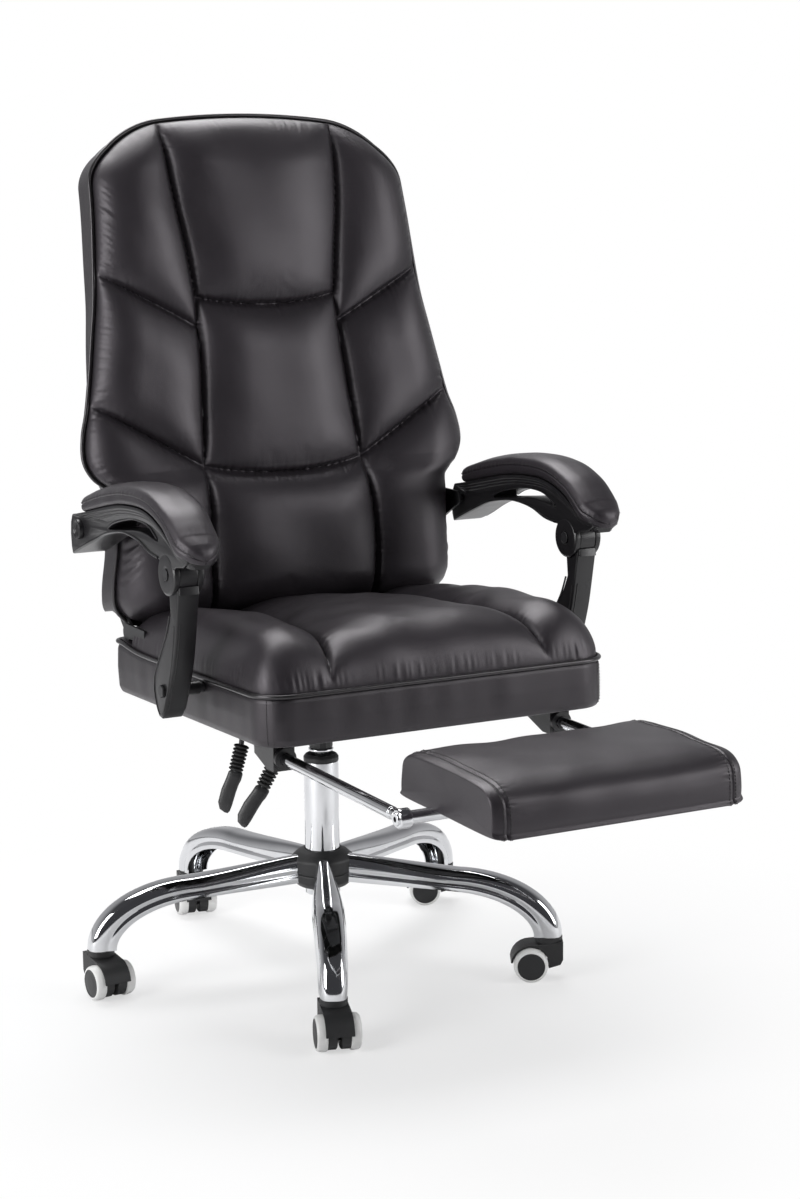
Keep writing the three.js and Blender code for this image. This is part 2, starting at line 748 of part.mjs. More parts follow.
const coverInner = coverRadius - coverWall;
const coverBore = columnRadius + runningGap;
const coverTopProfile = [
  [coverBore, coverTop - coverWall],
  [coverInner - coverChamfer, coverTop - coverWall - coverChamfer / 2],
  [coverInner, coverShoulder],
  [coverInner, coverParting + touchGap / 2],
  [coverRadius, coverParting + touchGap / 2],
  [coverRadius, coverShoulder],
  [coverRadius - coverChamfer, coverTop - coverChamfer / 2],
  [coverBore, coverTop],
  [coverBore, coverTop - coverWall],
];
const coverBottomProfile = [
  [coverBore, coverFoot],
  [coverRadius - coverChamfer, coverFoot],
  [coverRadius, coverFoot + coverChamfer],
  [coverRadius, coverParting - touchGap / 2],
  [coverInner, coverParting - touchGap / 2],
  [coverInner, coverFoot + coverChamfer],
  [coverInner - coverChamfer + coverWall / 2, coverFoot + coverWall],
  [coverBore, coverFoot + coverWall],
  [coverBore, coverFoot],
];
const openings = legOpenings();
add('hub_cover_top', surface(cut(body(turned(coverTopProfile, roundSteps)), ...openings)), hubPlastic);
add('hub_cover_bottom', surface(cut(body(turned(coverBottomProfile, roundSteps)), ...openings)), hubPlastic);

// Column: chrome stand tube with a guide bush at its mouth
const tubeInner = columnRadius - columnWall;
add('column_tube', turned([
  [tubeInner, columnFoot],
  [columnRadius, columnFoot],
  [columnRadius, columnTop],
  [tubeInner, columnTop],
  [tubeInner, columnFoot],
]), chrome);
const bushBore = cylinderRadius + touchGap;
const bushOuter = tubeInner - touchGap;
const bushTop = columnTop + bushRise;
add('column_bush', turned([
  [bushBore, columnTop - bushLength],
  [bushOuter, columnTop - bushLength],
  [bushOuter, columnTop + touchGap],
  [columnRadius, columnTop + touchGap],
  [columnRadius, bushTop - columnWall],
  [columnRadius - columnWall, bushTop],
  [cylinderRadius + bushRise / 2, bushTop],
  [bushBore, bushTop - bushRise / 2],
  [bushBore, columnTop - bushLength],
]), hubPlastic);

// Gas cylinder: slides in the bush and carries the mechanism on its taper
add('gas_cylinder', turned([
  [0, cylinderFoot],
  [cylinderRadius, cylinderFoot],
  [cylinderRadius, collarFoot],
  [collarRadius, collarFoot],
  [collarRadius, collarTop],
  [cylinderRadius, mechanismFoot - runningGap],
  [cylinderTaperRadius, cylinderTop],
  [0, cylinderTop],
]), chrome);

// Seat: the group is tilted, and its pieces are set out on the level of the box's underside
const seatTilt = seatTiltDegrees * degree;
const undersideAt = (y) => seatUnderside - y * Math.tan(seatTilt);
const seat = new THREE.Group();
seat.position.z = seatUnderside;
seat.rotation.x = -seatTilt;
column.add(seat);

// Half width of the seat's plan outline at a place from front to rear
function seatHalfWidthAt(y, inset) {
  const fromFront = y + seatFront - inset;
  const fromRear = seatRear - inset - y;
  const [front, rear] = [seatFrontCorner - inset, seatRearCorner - inset];
  return seatHalfWidth - inset - front * (1 - quarterRound(fromFront, front))
    - rear * (1 - quarterRound(fromRear, rear));
}

// Closed plan outline with rounded corners
function seatOutline(inset) {
  const shape = new THREE.Shape();
  const [w, f, r] = [seatHalfWidth - inset, -seatFront + inset, seatRear - inset];
  const [fc, rc] = [seatFrontCorner - inset, seatRearCorner - inset];
  shape.moveTo(-w + fc, f);
  shape.lineTo(w - fc, f);
  shape.absarc(w - fc, f + fc, fc, -Math.PI / 2, 0, false);
  shape.lineTo(w, r - rc);
  shape.absarc(w - rc, r - rc, rc, 0, Math.PI / 2, false);
  shape.lineTo(-w + rc, r);
  shape.absarc(-w + rc, r - rc, rc, Math.PI / 2, Math.PI, false);
  shape.lineTo(-w, f + fc);
  shape.absarc(-w + fc, f + fc, fc, Math.PI, Math.PI * 1.5, false);
  return shape.getPoints(cornerSteps / 2).filter((p, k, all) => k === 0 || p.distanceTo(all[k - 1]) > touchGap)
    .filter((p, k, all) => k < all.length - 1 || p.distanceTo(all[0]) > touchGap);
}

const grooveInset = pipingRadius + 2 * touchGap;
const boxRings = [
  [seatBoxTuck, 0],
  [seatBoxTuck / 4, seatBoxTuck / 2],
  [0, seatBoxHeight / 4],
  [0, seatBoxHeight - 2 * grooveInset],
  [grooveInset, seatBoxHeight],
];
const fromChair = new THREE.Matrix4().makeRotationX(seatTilt)
  .multiply(new THREE.Matrix4().makeTranslation(0, 0, -seatUnderside));
const seatTopAt = (y) => undersideAt(y) + seatBoxHeight;
const rodHeight = seatUnderside - rodDrop;
const guideFoot = rodHeight - guideFootDrop;
const leverHeight = seatUnderside - leverDrop;
const bootTop = leverHeight - bootDrop;
const postPivot = [-postPivotFront, seatTopAt(-postPivotFront) - postPivotDrop];
const leafFoot = seatTopAt(hingeLeafFront) - hingeLeafDrop;
const leafLift = seatTopAt(hingeLeafFront) + hingeLeafLift;

// Side shape of the seat's hinge leaf: a tab let into the box, a strip over the piping and an eye
function hingeLeafShape([eyeY, eyeZ]) {
  const under = Math.PI - Math.asin((leafLift - eyeZ) / hingeEyeRadius);
  const leaf = new THREE.Shape();
  leaf.moveTo(hingeLeafFront, leafFoot);
  leaf.lineTo(hingeLeafRear, leafFoot);
  leaf.lineTo(hingeLeafRear, leafLift);
  leaf.absarc(eyeY, eyeZ, hingeEyeRadius, under, Math.PI * 2.5, false);
  leaf.lineTo(hingeLeafFront, eyeZ + hingeEyeRadius);
  return leaf;
}

const seatCuts = sides.flatMap(([, side]) => [
  bar('x', pivotBoltRadius + touchGap, ...span(side * (boltRoot - touchGap), side * (seatHalfWidth + overrun)),
    postPivot, rodSteps),
  block(...span(side * (hingeSide - touchGap), side * (hingeSide + hingeThickness + touchGap)),
    hingeLeafFront - touchGap, hingeLeafRear + touchGap, leafFoot - touchGap, leafLift + overrun),
]);
add('seat_box', surface(cut(body(loft(
  boxRings.map(([inset]) => seatOutline(inset).map((p) => [p.x, p.y])),
  boxRings.map(([, height]) => new THREE.Matrix4().setPosition(0, 0, height)),
)), ...seatCuts.map((tool) => body(tool.applyMatrix4(fromChair))))), leather, seat);

const pipingPlan = seatOutline(0);
add('seat_piping', cordLoop(
  pipingPlan.map((p) => new THREE.Vector3(p.x, p.y, seatBoxHeight)),
  pipingPlan.map((p, i) => {
    const ahead = pipingPlan[(i + 1) % pipingPlan.length];
    const behind = pipingPlan[(i + pipingPlan.length - 1) % pipingPlan.length];
    return new THREE.Vector3(ahead.y - behind.y, behind.x - ahead.x, 0).normalize();
  }),
  pipingRadius,
), pipingLeather, seat);

// Seat cushion: three lobes, sewn down along two seams that draw together to the rear
const lobeSteps = 6;
const middleSteps = 6;
const seatColumns = 2 * lobeSteps + middleSteps;
const seatRows = 20;
const cushionFoot = seatBoxHeight + touchGap;

function seatSeamAt(y) {
  return lerp(seatSeamFront, seatSeamRear, Math.sqrt(clamp01((y + seatFront) / (seatFront + seatRear))));
}

function seatPlace(i, j) {
  const y = lerp(-seatFront + grooveInset, seatRear - grooveInset, easeEnds(j / seatRows));
  const edge = seatHalfWidthAt(y, grooveInset);
  const seam = Math.min(seatSeamAt(y), edge * 0.75);
  if (i < lobeSteps) return [lerp(-edge, -seam, easeEnds(i / lobeSteps)), y];
  if (i > lobeSteps + middleSteps) return [lerp(edge, seam, easeEnds((seatColumns - i) / lobeSteps)), y];
  return [lerp(-seam, seam, easeEnds((i - lobeSteps) / middleSteps)), y];
}

function seatTop(i, j) {
  const [x, y] = seatPlace(i, j);
  const edge = seatHalfWidthAt(y, grooveInset);
  const depthShare = (y + seatFront) / (seatFront + seatRear);
  const crest = lerp(seatCrown, seatRearCrown, clamp01(depthShare * 1.6 - 0.6) ** 1.3);
  const rimX = quarterRound(edge - Math.abs(x), seatEdgeRound * 0.8);
  const rimY = quarterRound(y + seatFront - grooveInset, seatEdgeRound)
    * quarterRound(seatRear - grooveInset - y, seatEdgeRound / 2);
  const seam = seatSeamDepth * valley(Math.abs(x) - seatSeamAt(y), seatSeamWidth) * rimY;
  const rise = crest * rimX * rimY;
  return new THREE.Vector3(x, y, cushionFoot + grooveInset + rise - Math.min(seam, rise));
}

const strapOuter = hingeSide - touchGap;
const strapInner = strapOuter - hingeThickness;
const hingeNotches = sides.flatMap(([, side]) => [
  [hingeSide, hingeLeafFront],
  [strapInner - mechanismWall, postPivot[0] + armSpan - hingeEyeRadius],
].map(([inner, front]) => body(block(
  ...span(side * (inner - runningGap), side * (seatHalfWidth + overrun)),
  front - runningGap, seatRear + overrun, leafLift - overrun, leafLift + seatCrown).applyMatrix4(fromChair))));
add('seat_cushion', surface(cut(body(pillow(seatRows, seatColumns, seatTop, (i, j) => {
  const [x, y] = seatPlace(i, j);
  return new THREE.Vector3(x, y, cushionFoot);
})), ...hingeNotches)), leather, seat);

// Mechanism: steel pan with a flanged seat plate, a socket for the cylinder and lever bearings
const underPlate = (y) => undersideAt(y) - touchGap;
const panShape = polygon([
  [-mechanismFront, underPlate(-mechanismFront)], [-mechanismFront, mechanismNose],
  [-mechanismFront + overrun, mechanismFoot], [mechanismRear - overrun, mechanismFoot],
  [mechanismRear, mechanismNose], [mechanismRear, underPlate(mechanismRear)],
]);
const plateShape = polygon([
  [-plateFront, underPlate(-plateFront)], [-plateFront, underPlate(-plateFront) - plateThickness],
  [plateRear, underPlate(plateRear) - plateThickness], [plateRear, underPlate(plateRear)],
]);
const panInner = mechanismHalfWidth - mechanismWall;
const panHollow = block(-panInner, panInner, -mechanismFront + overrun + mechanismWall,
  mechanismRear - overrun - mechanismWall, mechanismFoot - overrun,
  underPlate(mechanismRear) - plateThickness - mechanismWall);
const leverBore = leverRodRadius + touchGap;
const bearing = (front) => body(block(-plateHalfWidth, -plateHalfWidth + bearingLength,
  -front - bearingHalfWidth, -front + bearingHalfWidth,
  leverHeight - leverBore - plateThickness / 2, underPlate(-front) - plateThickness / 2));
const bearingBore = (front) => body(bar('x', leverBore, -plateHalfWidth - overrun,
  -plateHalfWidth + bearingLength - mechanismWall, [-front, leverHeight], pinSteps));
const cylinderBore = turned([
  [0, mechanismFoot - overrun],
  [cylinderRadius + touchGap, mechanismFoot - overrun],
  [cylinderRadius + touchGap, mechanismFoot - runningGap],
  [cylinderTaperRadius + touchGap, cylinderTop],
  [cylinderTaperRadius + touchGap, cylinderTop + runningGap],
  [0, cylinderTop + runningGap],
]);
add('mechanism', surface(cut(
  joined(
    cut(body(sidePlate(panShape, -mechanismHalfWidth, mechanismHalfWidth)), body(panHollow)),
    body(sidePlate(plateShape, -plateHalfWidth, plateHalfWidth)),
    body(bar('z', socketRadius, mechanismFoot, underPlate(0) - plateThickness / 2)),
    bearing(heightLeverFront),
    bearing(reclineLeverFront),
  ),
  body(cylinderBore),
  bearingBore(heightLeverFront),
  bearingBore(reclineLeverFront),
)), paintedSteel);

// Lever: a bent steel rod that turns under the seat, with a moulded paddle grip and a ribbed boot
function addLever(name, front, leanDegrees) {
  const lean = leanDegrees * degree;
  const down = new THREE.Vector3(-Math.sin(lean), 0, -Math.cos(lean));
  const inner = new THREE.Vector3(
    -plateHalfWidth + bearingLength - mechanismWall - runningGap, -front, leverHeight);
  const elbow = new THREE.Vector3(-leverSide + leverElbow, -front, leverHeight);
  const knee = new THREE.Vector3(-leverSide, -front, bootTop);
  const path = new THREE.CurvePath();
  path.add(new THREE.LineCurve3(inner, elbow));
  path.add(new THREE.QuadraticBezierCurve3(
    elbow, new THREE.Vector3(-leverSide, -front, leverHeight),
    new THREE.Vector3(-leverSide, -front, leverHeight - leverElbow)));
  path.add(new THREE.LineCurve3(path.curves[1].v2, knee));
  path.add(new THREE.LineCurve3(knee, knee.clone().addScaledVector(down, bootLength + gripLength / 2)));
  const round = new THREE.Shape();
  round.absarc(0, 0, leverRodRadius, 0, 2 * Math.PI, false);
  const rod = new THREE.ExtrudeGeometry(round, {
    steps: 22, extrudePath: path, bevelEnabled: false, curveSegments: 3,
  });
  const sections = gripShares.map(([, wide, thick]) => ringOf(
    gripSides, (gripThickness / 2) * thick, (gripWidth / 2) * wide));
  const hanging = new THREE.Matrix4().makeRotationY(lean).setPosition(knee);
  const grip = loft(sections.reverse(), gripShares.map(([along]) => new THREE.Matrix4().setPosition(
    0, 0, -bootLength - 2 * runningGap - along * gripLength)).reverse()).applyMatrix4(hanging);
  add(`${name}_lever`, surface(joined(body(rod), body(grip))), armPlastic);
  const pitch = bootLength / bootRibs;
  const bootBore = leverBore + touchGap;
  const profile = [[bootBore, 0]];
  for (let k = 0; k < bootRibs; k += 1) {
    profile.push([bootWaistRadius, -k * pitch], [bootRadius, -(k + 0.5) * pitch]);
  }
  profile.push([bootWaistRadius, -bootLength], [bootBore, -bootLength], [bootBore, 0]);
  const boot = turned(profile.reverse(), bootSides);
  boot.translate(0, 0, -runningGap);
  add(`${name}_lever_boot`, boot.applyMatrix4(hanging), rubber);
}

addLever('height', heightLeverFront, heightLeverLeanDegrees);
addLever('recline', reclineLeverFront, reclineLeverLeanDegrees);

// Footrest slides: a chrome rod in a moulded guide under each front corner of the seat
const spigotRadius = rodNeckRadius / 2;
const collarRear = -footrestPivot + lugRadius + rodNeckLength;
for (const [name, side] of sides) {
  const mid = side * rodSide;
  const along = [mid, rodHeight];
  const guide = polygon([
    [-guideFront, underPlate(-guideFront)], [-guideFront, guideFoot], [-guideFront + overrun, guideFoot],
    [-guideRear, lerp(guideFoot, underPlate(-guideRear), 0.35)], [-guideRear, underPlate(-guideRear)],
  ]);
  const flangeFront = -guideFront + overrun / 2;
  const flangeRear = -guideRear - overrun / 2;
  const flange = polygon([
    [flangeFront, underPlate(flangeFront)], [flangeFront, underPlate(flangeFront) - guideFlangeThickness],
    [flangeRear, underPlate(flangeRear) - guideFlangeThickness], [flangeRear, underPlate(flangeRear)],
  ]);
  add(`guide_block_${name}`, surface(cut(
    joined(
      body(sidePlate(guide, mid - guideHalfWidth, mid + guideHalfWidth)),
      body(sidePlate(flange, ...span(side * guideFlangeInner, mid))),
      body(bar('y', guideHalfWidth, -guideFront - guideCollar, -guideFront + guideCollar, along, roundSteps)),
    ),
    body(bar('y', rodRadius + touchGap, -guideFront - overrun, -guideRear + overrun, along, roundSteps)),
  )), armPlastic);
  const lug = joined(
    body(bar('y', rodRadius, collarRear, -rodTail, along, rodSteps)),
    body(bar('y', rodNeckRadius, -footrestPivot, collarRear + runningGap, along, pinSteps)),
    body(bar('x', lugRadius, mid - lugHalfWidth, mid + lugHalfWidth, [-footrestPivot, rodHeight], roundSteps)),
  );
  const spigotBore = body(bar('x', spigotRadius + touchGap, ...span(mid, mid - side * overrun),
    [-footrestPivot, rodHeight], pinSteps));
  add(`footrest_rod_${name}`, surface(cut(lug, spigotBore)), chrome);
}

// Footrest: cross tube turning in the lugs, saddles up to the board, and the upholstered pad
const tubeEnd = rodSide - lugHalfWidth - runningGap;
const boardFoot = rodHeight + padBoardLift;
const boardTop = boardFoot + padBoardThickness;
const spigotEnd = rodSide - runningGap;
const padMiddle = -footrestPivot + (padRear - padFront) / 2;
const padDepth = padFront + padRear;
const crossLine = [-footrestPivot, rodHeight];
const saddles = [-1, 1].map((side) => body(block(
  side * saddleSide - saddleHalfWidth, side * saddleSide + saddleHalfWidth,
  -footrestPivot - crossTubeRadius, -footrestPivot + crossTubeRadius,
  rodHeight, boardFoot - touchGap)));
add('footrest_tube', surface(joined(
  body(bar('x', crossTubeRadius, -tubeEnd, tubeEnd, crossLine, rodSteps)),
  body(bar('x', spigotRadius, -spigotEnd, spigotEnd, crossLine, pinSteps)),
  ...saddles,
)), chrome);
const boardBlock = (grow, foot) => block(
  -padHalfWidth + padBoardInset - grow, padHalfWidth - padBoardInset + grow,
  padMiddle - padDepth / 2 + padBoardInset - grow, padMiddle + padDepth / 2 - padBoardInset + grow,
  foot, boardTop + grow);
add('footrest_board', boardBlock(0, boardFoot), plywood);
const padFoot = rodHeight + padFootLift;
const padHeight = padRise - padFootLift;
const padShell = body(loft(
  cushionEndShares.map(([, size]) => cushionSectionShares.map(([along, up]) => [
    padMiddle + (along - 0.5) * padDepth * size,
    padFoot + padHeight * (0.5 + (up - 0.5) * size),
  ])),
  cushionEndShares.map(([across]) => sideways(across * padHalfWidth)),
));
add('footrest_pad', surface(cut(padShell, body(boardBlock(touchGap, rodHeight - overrun)),
  body(bar('x', crossTubeRadius + runningGap, -rodSide, rodSide, crossLine, rodSteps)))), leather);

// Arm linkage: post, arm, back and seat form a parallelogram on each side
const barrel = [-barrelFront, barrelHeight];
const postRise = barrel[1] - postPivot[1];
const hinge = [postPivot[0] + armSpan, postPivot[1] + armRearPivotRise];
const armRearPivot = [barrel[0] + armSpan, barrel[1] + armRearPivotRise];
const bracketTop = armRearPivot[1] + bracketLift;
const bracketFoot = armRearPivot[1] - bracketDrop;
const fromBarrel = ([along, up]) => [barrel[0] + along * armSpan, barrel[1] + up * armRise];
const fromPost = ([along, up]) => [postPivot[0] + along * postRise, postPivot[1] + up * postRise];
const armTop = smooth(armTopShares.map(fromBarrel), armTopSteps);
const armOutline = polygon([
  ...armTop, ...armNoseShares.map(fromBarrel), ...smooth(armRailShares.map(fromBarrel), 8)]);
const slotOutline = polygon([
  ...smooth(slotTopShares.map(fromBarrel), 7), ...smooth(slotFootShares.map(fromBarrel), 6)]);
const armBox = polygon(armBoxShares.map(fromBarrel));
const [postFrontTop, postRearTop] = postTopShares.map(([along, up]) => [
  barrel[0] + along * knuckleRadius, barrel[1] + up * knuckleRadius]);
const postOutline = polygon([
  ...smooth([postFrontTop, ...postFrontShares.map(fromPost)], 7),
  ...smooth([...postRearShares.map(fromPost), postRearTop], 9)]);

for (const [name, side] of sides) {
  const mid = side * armSide;
  const face = (halfWidth) => [mid - halfWidth, mid + halfWidth];
  const frame = joined(
    body(sidePlate(armOutline, ...face(armFrameHalfWidth))),
    body(bar('x', barrelRadius, ...face(armFrameHalfWidth), barrel, barrelSteps)),
    body(sidePlate(armBox, ...span(side * armBoxInner, side * armBoxOuter))),
    body(bar('x', capRadius, ...span(side * (armBoxOuter - capThickness), side * (armBoxOuter + capThickness)),
      armRearPivot, roundSteps)),
  );
  const pinEnd = bracketInner + bracketThickness + bracketPinReach;
  add(`arm_frame_${name}`, surface(cut(frame,
    body(sidePlate(slotOutline, ...face(armFrameHalfWidth + overrun))),
    body(bar('x', knuckleRadius + 2 * runningGap, ...face(knuckleHalfWidth + touchGap), barrel, barrelSteps)),
    body(bar('x', armPinRadius + touchGap, ...face(armFrameHalfWidth + overrun), barrel, pinSteps)),
    body(bar('x', bracketPinRadius + openPivotClearance,
      ...span(side * bracketInner, side * (pinEnd + runningGap)), armRearPivot, rodSteps)),
  )), armPlastic);
  const pin = joined(
    body(bar('x', armPinRadius, ...face(armFrameHalfWidth + touchGap + armPinHead), barrel, pinSteps)),
    ...[-1, 1].map((end) => body(bar('x', armPinHeadRadius, ...span(
      mid + end * (armFrameHalfWidth + touchGap),
      mid + end * (armFrameHalfWidth + touchGap + armPinHead)), barrel, rodSteps))),
  );
  add(`arm_hinge_pin_${name}`, surface(pin), paintedSteel);
  const post = joined(
    cut(body(sidePlate(postOutline, ...face(postHalfWidth))),
      body(bar('x', barrelRadius + runningGap, ...face(armFrameHalfWidth + overrun), barrel, barrelSteps))),
    body(sidePlate(postOutline, ...face(knuckleHalfWidth))),
    body(bar('x', knuckleRadius, ...face(knuckleHalfWidth), barrel, barrelSteps)),
    body(bar('x', postBossRadius, ...span(side * postBossInner, mid), postPivot, roundSteps)),
  );
  add(`arm_post_${name}`, surface(cut(post,
    body(bar('x', armPinRadius + touchGap, ...face(armFrameHalfWidth + overrun), barrel, pinSteps)),
    body(bar('x', pivotBoltRadius + touchGap,
      ...span(side * boltFlangeInner, mid + side * armFrameHalfWidth * 2), postPivot, rodSteps)),
  )), armPlastic);
  const postFace = armSide + postHalfWidth + touchGap;
  add(`post_bolt_${name}`, surface(joined(
    body(bar('x', pivotBoltRadius,
      ...span(side * boltRoot, side * (postFace + runningGap)), postPivot, pinSteps)),
    body(bar('x', boltFlangeRadius,
      ...span(side * boltFlangeInner, side * boltFlangeOuter), postPivot, rodSteps)),
    body(bar('x', boltHeadRadius,
      ...span(side * postFace, side * (postFace + boltHeadThickness)), postPivot, hexSides)),
  )), paintedSteel);

  // Upholstered pad along the top of the arm, standing on the same line as the frame's top edge
  const stations = armTop.filter(([y]) => y <= armPadRear);
  const padSections = stations.map((_, k) => {
    const share = k / (stations.length - 1);
    const thickness = armPadThickness * follow(padThicknessShares, share, 1);
    const width = armPadHalfWidth * follow(padThicknessShares, share, 2);
    return padCrossShares.map(([across, up]) => [width * across, touchGap + thickness * up]);
  });
  const padMatrices = stations.map((at, k) => {
    const before = stations[Math.max(0, k - 1)];
    const after = stations[Math.min(stations.length - 1, k + 1)];
    const ahead = new THREE.Vector3(0, after[0] - before[0], after[1] - before[1]).normalize();
    const across = new THREE.Vector3(1, 0, 0);
    return new THREE.Matrix4().makeBasis(across, new THREE.Vector3().crossVectors(ahead, across), ahead)
      .setPosition(mid, at[0], at[1]);
  });
  add(`arm_pad_${name}`, loft(padSections, padMatrices), leather);
}

// Backrest: set out on its seams, which the rows of the cushion follow
const backSideSteps = 5;
const backMiddleSteps = 8;
const backColumns = 2 * backSideSteps + backMiddleSteps;
const backRows = backRowShares.length - 1;
const backShareAt = (z) => (z - backFoot) / backRise;
const backLineAt = (z) => backFrontPlane + backRake * follow(backShares, backShareAt(z), 2);
const backSeamAt = (z) => backSeamSide * follow(backSeamShares, backShareAt(z), 1);

function backHalfWidthAt(z, inset) {
  const fromFoot = z - backFoot - inset;
  const fromTop = backFoot + backRise - inset - z;
  return backHalfWidth * follow(backShares, backShareAt(z), 1) - inset
    - backFootCorner * (1 - quarterRound(fromFoot, backFootCorner))
    - backTopCornerWidth * (1 - quarterRound(fromTop, backTopCornerHeight));
}

function backPlace(i, j, inset) {
  const share = backRowShares[j];
  const level = backFoot + inset + (backRise - 2 * inset) * share;
  const fade = clamp01(share / 0.25) * clamp01((1 - share) / 0.3);
  const seam = Math.min(backSeamAt(level), backHalfWidthAt(level, inset) * 0.8);
  let edge = backHalfWidthAt(level, inset);
  let edgeLevel = level;
  for (let pass = 0; pass < 24; pass += 1) {
    edgeLevel = level + diagonalClimb * fade * (edge - seam);
    edge = lerp(edge, backHalfWidthAt(edgeLevel, inset), 0.6);
  }
  const fromMiddle = i - backColumns / 2;
  const side = Math.sign(fromMiddle);
  const outward = (Math.abs(fromMiddle) - backMiddleSteps / 2) / backSideSteps;
  if (outward > 0) {
    return [side * lerp(seam, edge, Math.sin((outward * Math.PI) / 2)),
      lerp(level, edgeLevel, Math.sin((outward * Math.PI) / 2))];
  }
  const across = fromMiddle / (backMiddleSteps / 2);
  const turn = (across * Math.PI) / 2;
  return [seam * Math.sin(turn), level - seamSag * fade * Math.cos(turn) ** 2];
}

function backFront(i, j) {
  const [x, z] = backPlace(i, j, grooveInset);
  const away = Math.abs(x) - backSeamAt(z);
  const rim = quarterRound(backHalfWidthAt(z, grooveInset) - Math.abs(x), backEdgeRound)
    * quarterRound(z - backFoot - grooveInset, backEdgeRound)
    * quarterRound(backFoot + backRise - grooveInset - z, backEdgeRound);
  const crown = lerp(backLumbarCrown, backCrown, clamp01((z - backFoot) / (lumbarSeamHeight - backFoot)));
  const lines = away < 0
    ? [headSeamHeight, lumbarSeamHeight].map((height) => z - height + seamSag * (1 - (x / backSeamAt(z)) ** 2))
    : [upperDiagonalHeight, lumbarSeamHeight].map((height) => z - height - diagonalClimb * away);
  const sewn = Math.max(...[away, ...lines].map((distance) => valley(distance, backSeamWidth)));
  const forward = rim * (crown - backSeamDepth * sewn);
  return new THREE.Vector3(x, backLineAt(z) - grooveInset - forward, z);
}

const backPoint = (i, j, inset, depth) => {
  const [x, z] = backPlace(i, j, inset);
  const rake = backRakeDegrees * degree;
  return new THREE.Vector3(x, backLineAt(z) + depth * Math.cos(rake), z - depth * Math.sin(rake));
};
add('back_cushion', pillow(backRows, backColumns, backFront, (i, j) => {
  const [x, z] = backPlace(i, j, grooveInset);
  return new THREE.Vector3(x, backLineAt(z) - touchGap, z);
}), leather);

const backRim = rimPlaces(backRows, backColumns);
const shellRings = [
  [grooveInset, 0, 0],
  [0, 0, 2 * grooveInset],
  [0, 1, backBoxDepth],
  [backRearInset, 1, backBoxDepth + backRearCrown],
].map(([inset, taper, depth]) => backRim.map(([i, j]) => backPoint(
  i, j, inset + taper * backBoxTaper * follow(backTaperShares, backRowShares[j], 1), depth)));
const shellPockets = sides.flatMap(([, side]) => [
  body(block(...span(side * (strapInner - touchGap), side * hingeSide),
    hingeStrapFront - touchGap, hingeStrapRear + touchGap, backFoot - overrun * 2, hingeStrapTop + touchGap)),
  body(block(...span(side * (bracketTongueRoot - touchGap), side * (bracketInner + overrun)),
    bracketTongueFront - touchGap, bracketTongueRear + touchGap,
    bracketFoot + 2 * pipingRadius - touchGap, bracketTop - 2 * pipingRadius + touchGap)),
]);
add('back_shell', surface(cut(body(rimStack(backRows, backColumns, shellRings)), ...shellPockets)), leather);
const backPipe = backRim.map(([i, j]) => backPoint(i, j, 0, 0));
add('back_piping', cordLoop(backPipe, backPipe.map((at, k) => {
  const ahead = backPipe[(k + 1) % backPipe.length];
  const behind = backPipe[(k + backPipe.length - 1) % backPipe.length];
  return new THREE.Vector3(ahead.z - behind.z, 0, behind.x - ahead.x).normalize();
}), pipingRadius), pipingLeather);

// Recline hinges and arm brackets: steel plates let into the seat and the back
for (const [name, side] of sides) {
  const strapShape = polygon([
    [hinge[0] - hingeEyeRadius * Math.SQRT1_2, hinge[1] + hingeEyeRadius * Math.SQRT1_2],
    [hingeStrapFront, backFoot - pipingRadius * 2], [hingeStrapFront, hingeStrapTop],
    [hingeStrapRear, hingeStrapTop], [hingeStrapRear, backFoot - hingeEyeRadius],
    [hinge[0] + hingeEyeRadius * Math.SQRT1_2, hinge[1] - hingeEyeRadius * Math.SQRT1_2],
  ]);
  const strapFace = span(side * strapInner, side * strapOuter);
  add(`back_hinge_${name}`, surface(cut(
    joined(body(sidePlate(strapShape, ...strapFace)),
      body(bar('x', hingeEyeRadius, ...strapFace, hinge, roundSteps))),
    body(bar('x', hingePinRadius + touchGap,
      ...span(side * (strapInner - overrun), side * hingeSide), hinge, rodSteps)),
  )), paintedSteel);
  add(`seat_hinge_${name}`, surface(joined(
    body(sidePlate(hingeLeafShape(hinge), ...span(side * hingeSide, side * (hingeSide + hingeThickness)))),
    body(bar('x', hingePinRadius,
      ...span(side * (strapInner - mechanismWall), side * (hingeSide + hingeThickness)), hinge, pinSteps)),
  )), paintedSteel);
  const [pinY, pinZ] = armRearPivot;
  const bracketShape = new THREE.Shape();
  bracketShape.moveTo(bracketRear, bracketTop);
  bracketShape.lineTo(pinY, bracketTop);
  bracketShape.absarc(pinY, pinZ, bracketTop - pinZ, Math.PI / 2, Math.PI * 1.5, false);
  bracketShape.lineTo(bracketRear - hingeLeafRear / 2, bracketFoot);
  bracketShape.lineTo(bracketRear, bracketFoot);
  const plate = span(side * bracketInner, side * (bracketInner + bracketThickness));
  add(`arm_bracket_${name}`, surface(joined(
    body(sidePlate(bracketShape, ...plate, 6)),
    body(bar('x', bracketPinRadius, ...span(side * (bracketInner + runningGap),
      side * (bracketInner + bracketThickness + bracketPinReach)), armRearPivot, rodSteps)),
    body(block(...span(side * bracketTongueRoot, side * (bracketInner + runningGap)),
      bracketTongueFront, bracketTongueRear, bracketFoot + 2 * pipingRadius, bracketTop - 2 * pipingRadius)),
  )), paintedSteel);
}

export default chair;
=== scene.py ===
"""A reclining office chair whose footrest draws out from under the seat, dressed over its CAD frame.

Sizes are in millimetres from the column's axis and the floor: X to the sitter's left, -Y ahead, Z up.
"""
import json
import math

import bmesh
import bpy
import numpy as np
from mathutils import Matrix, Vector

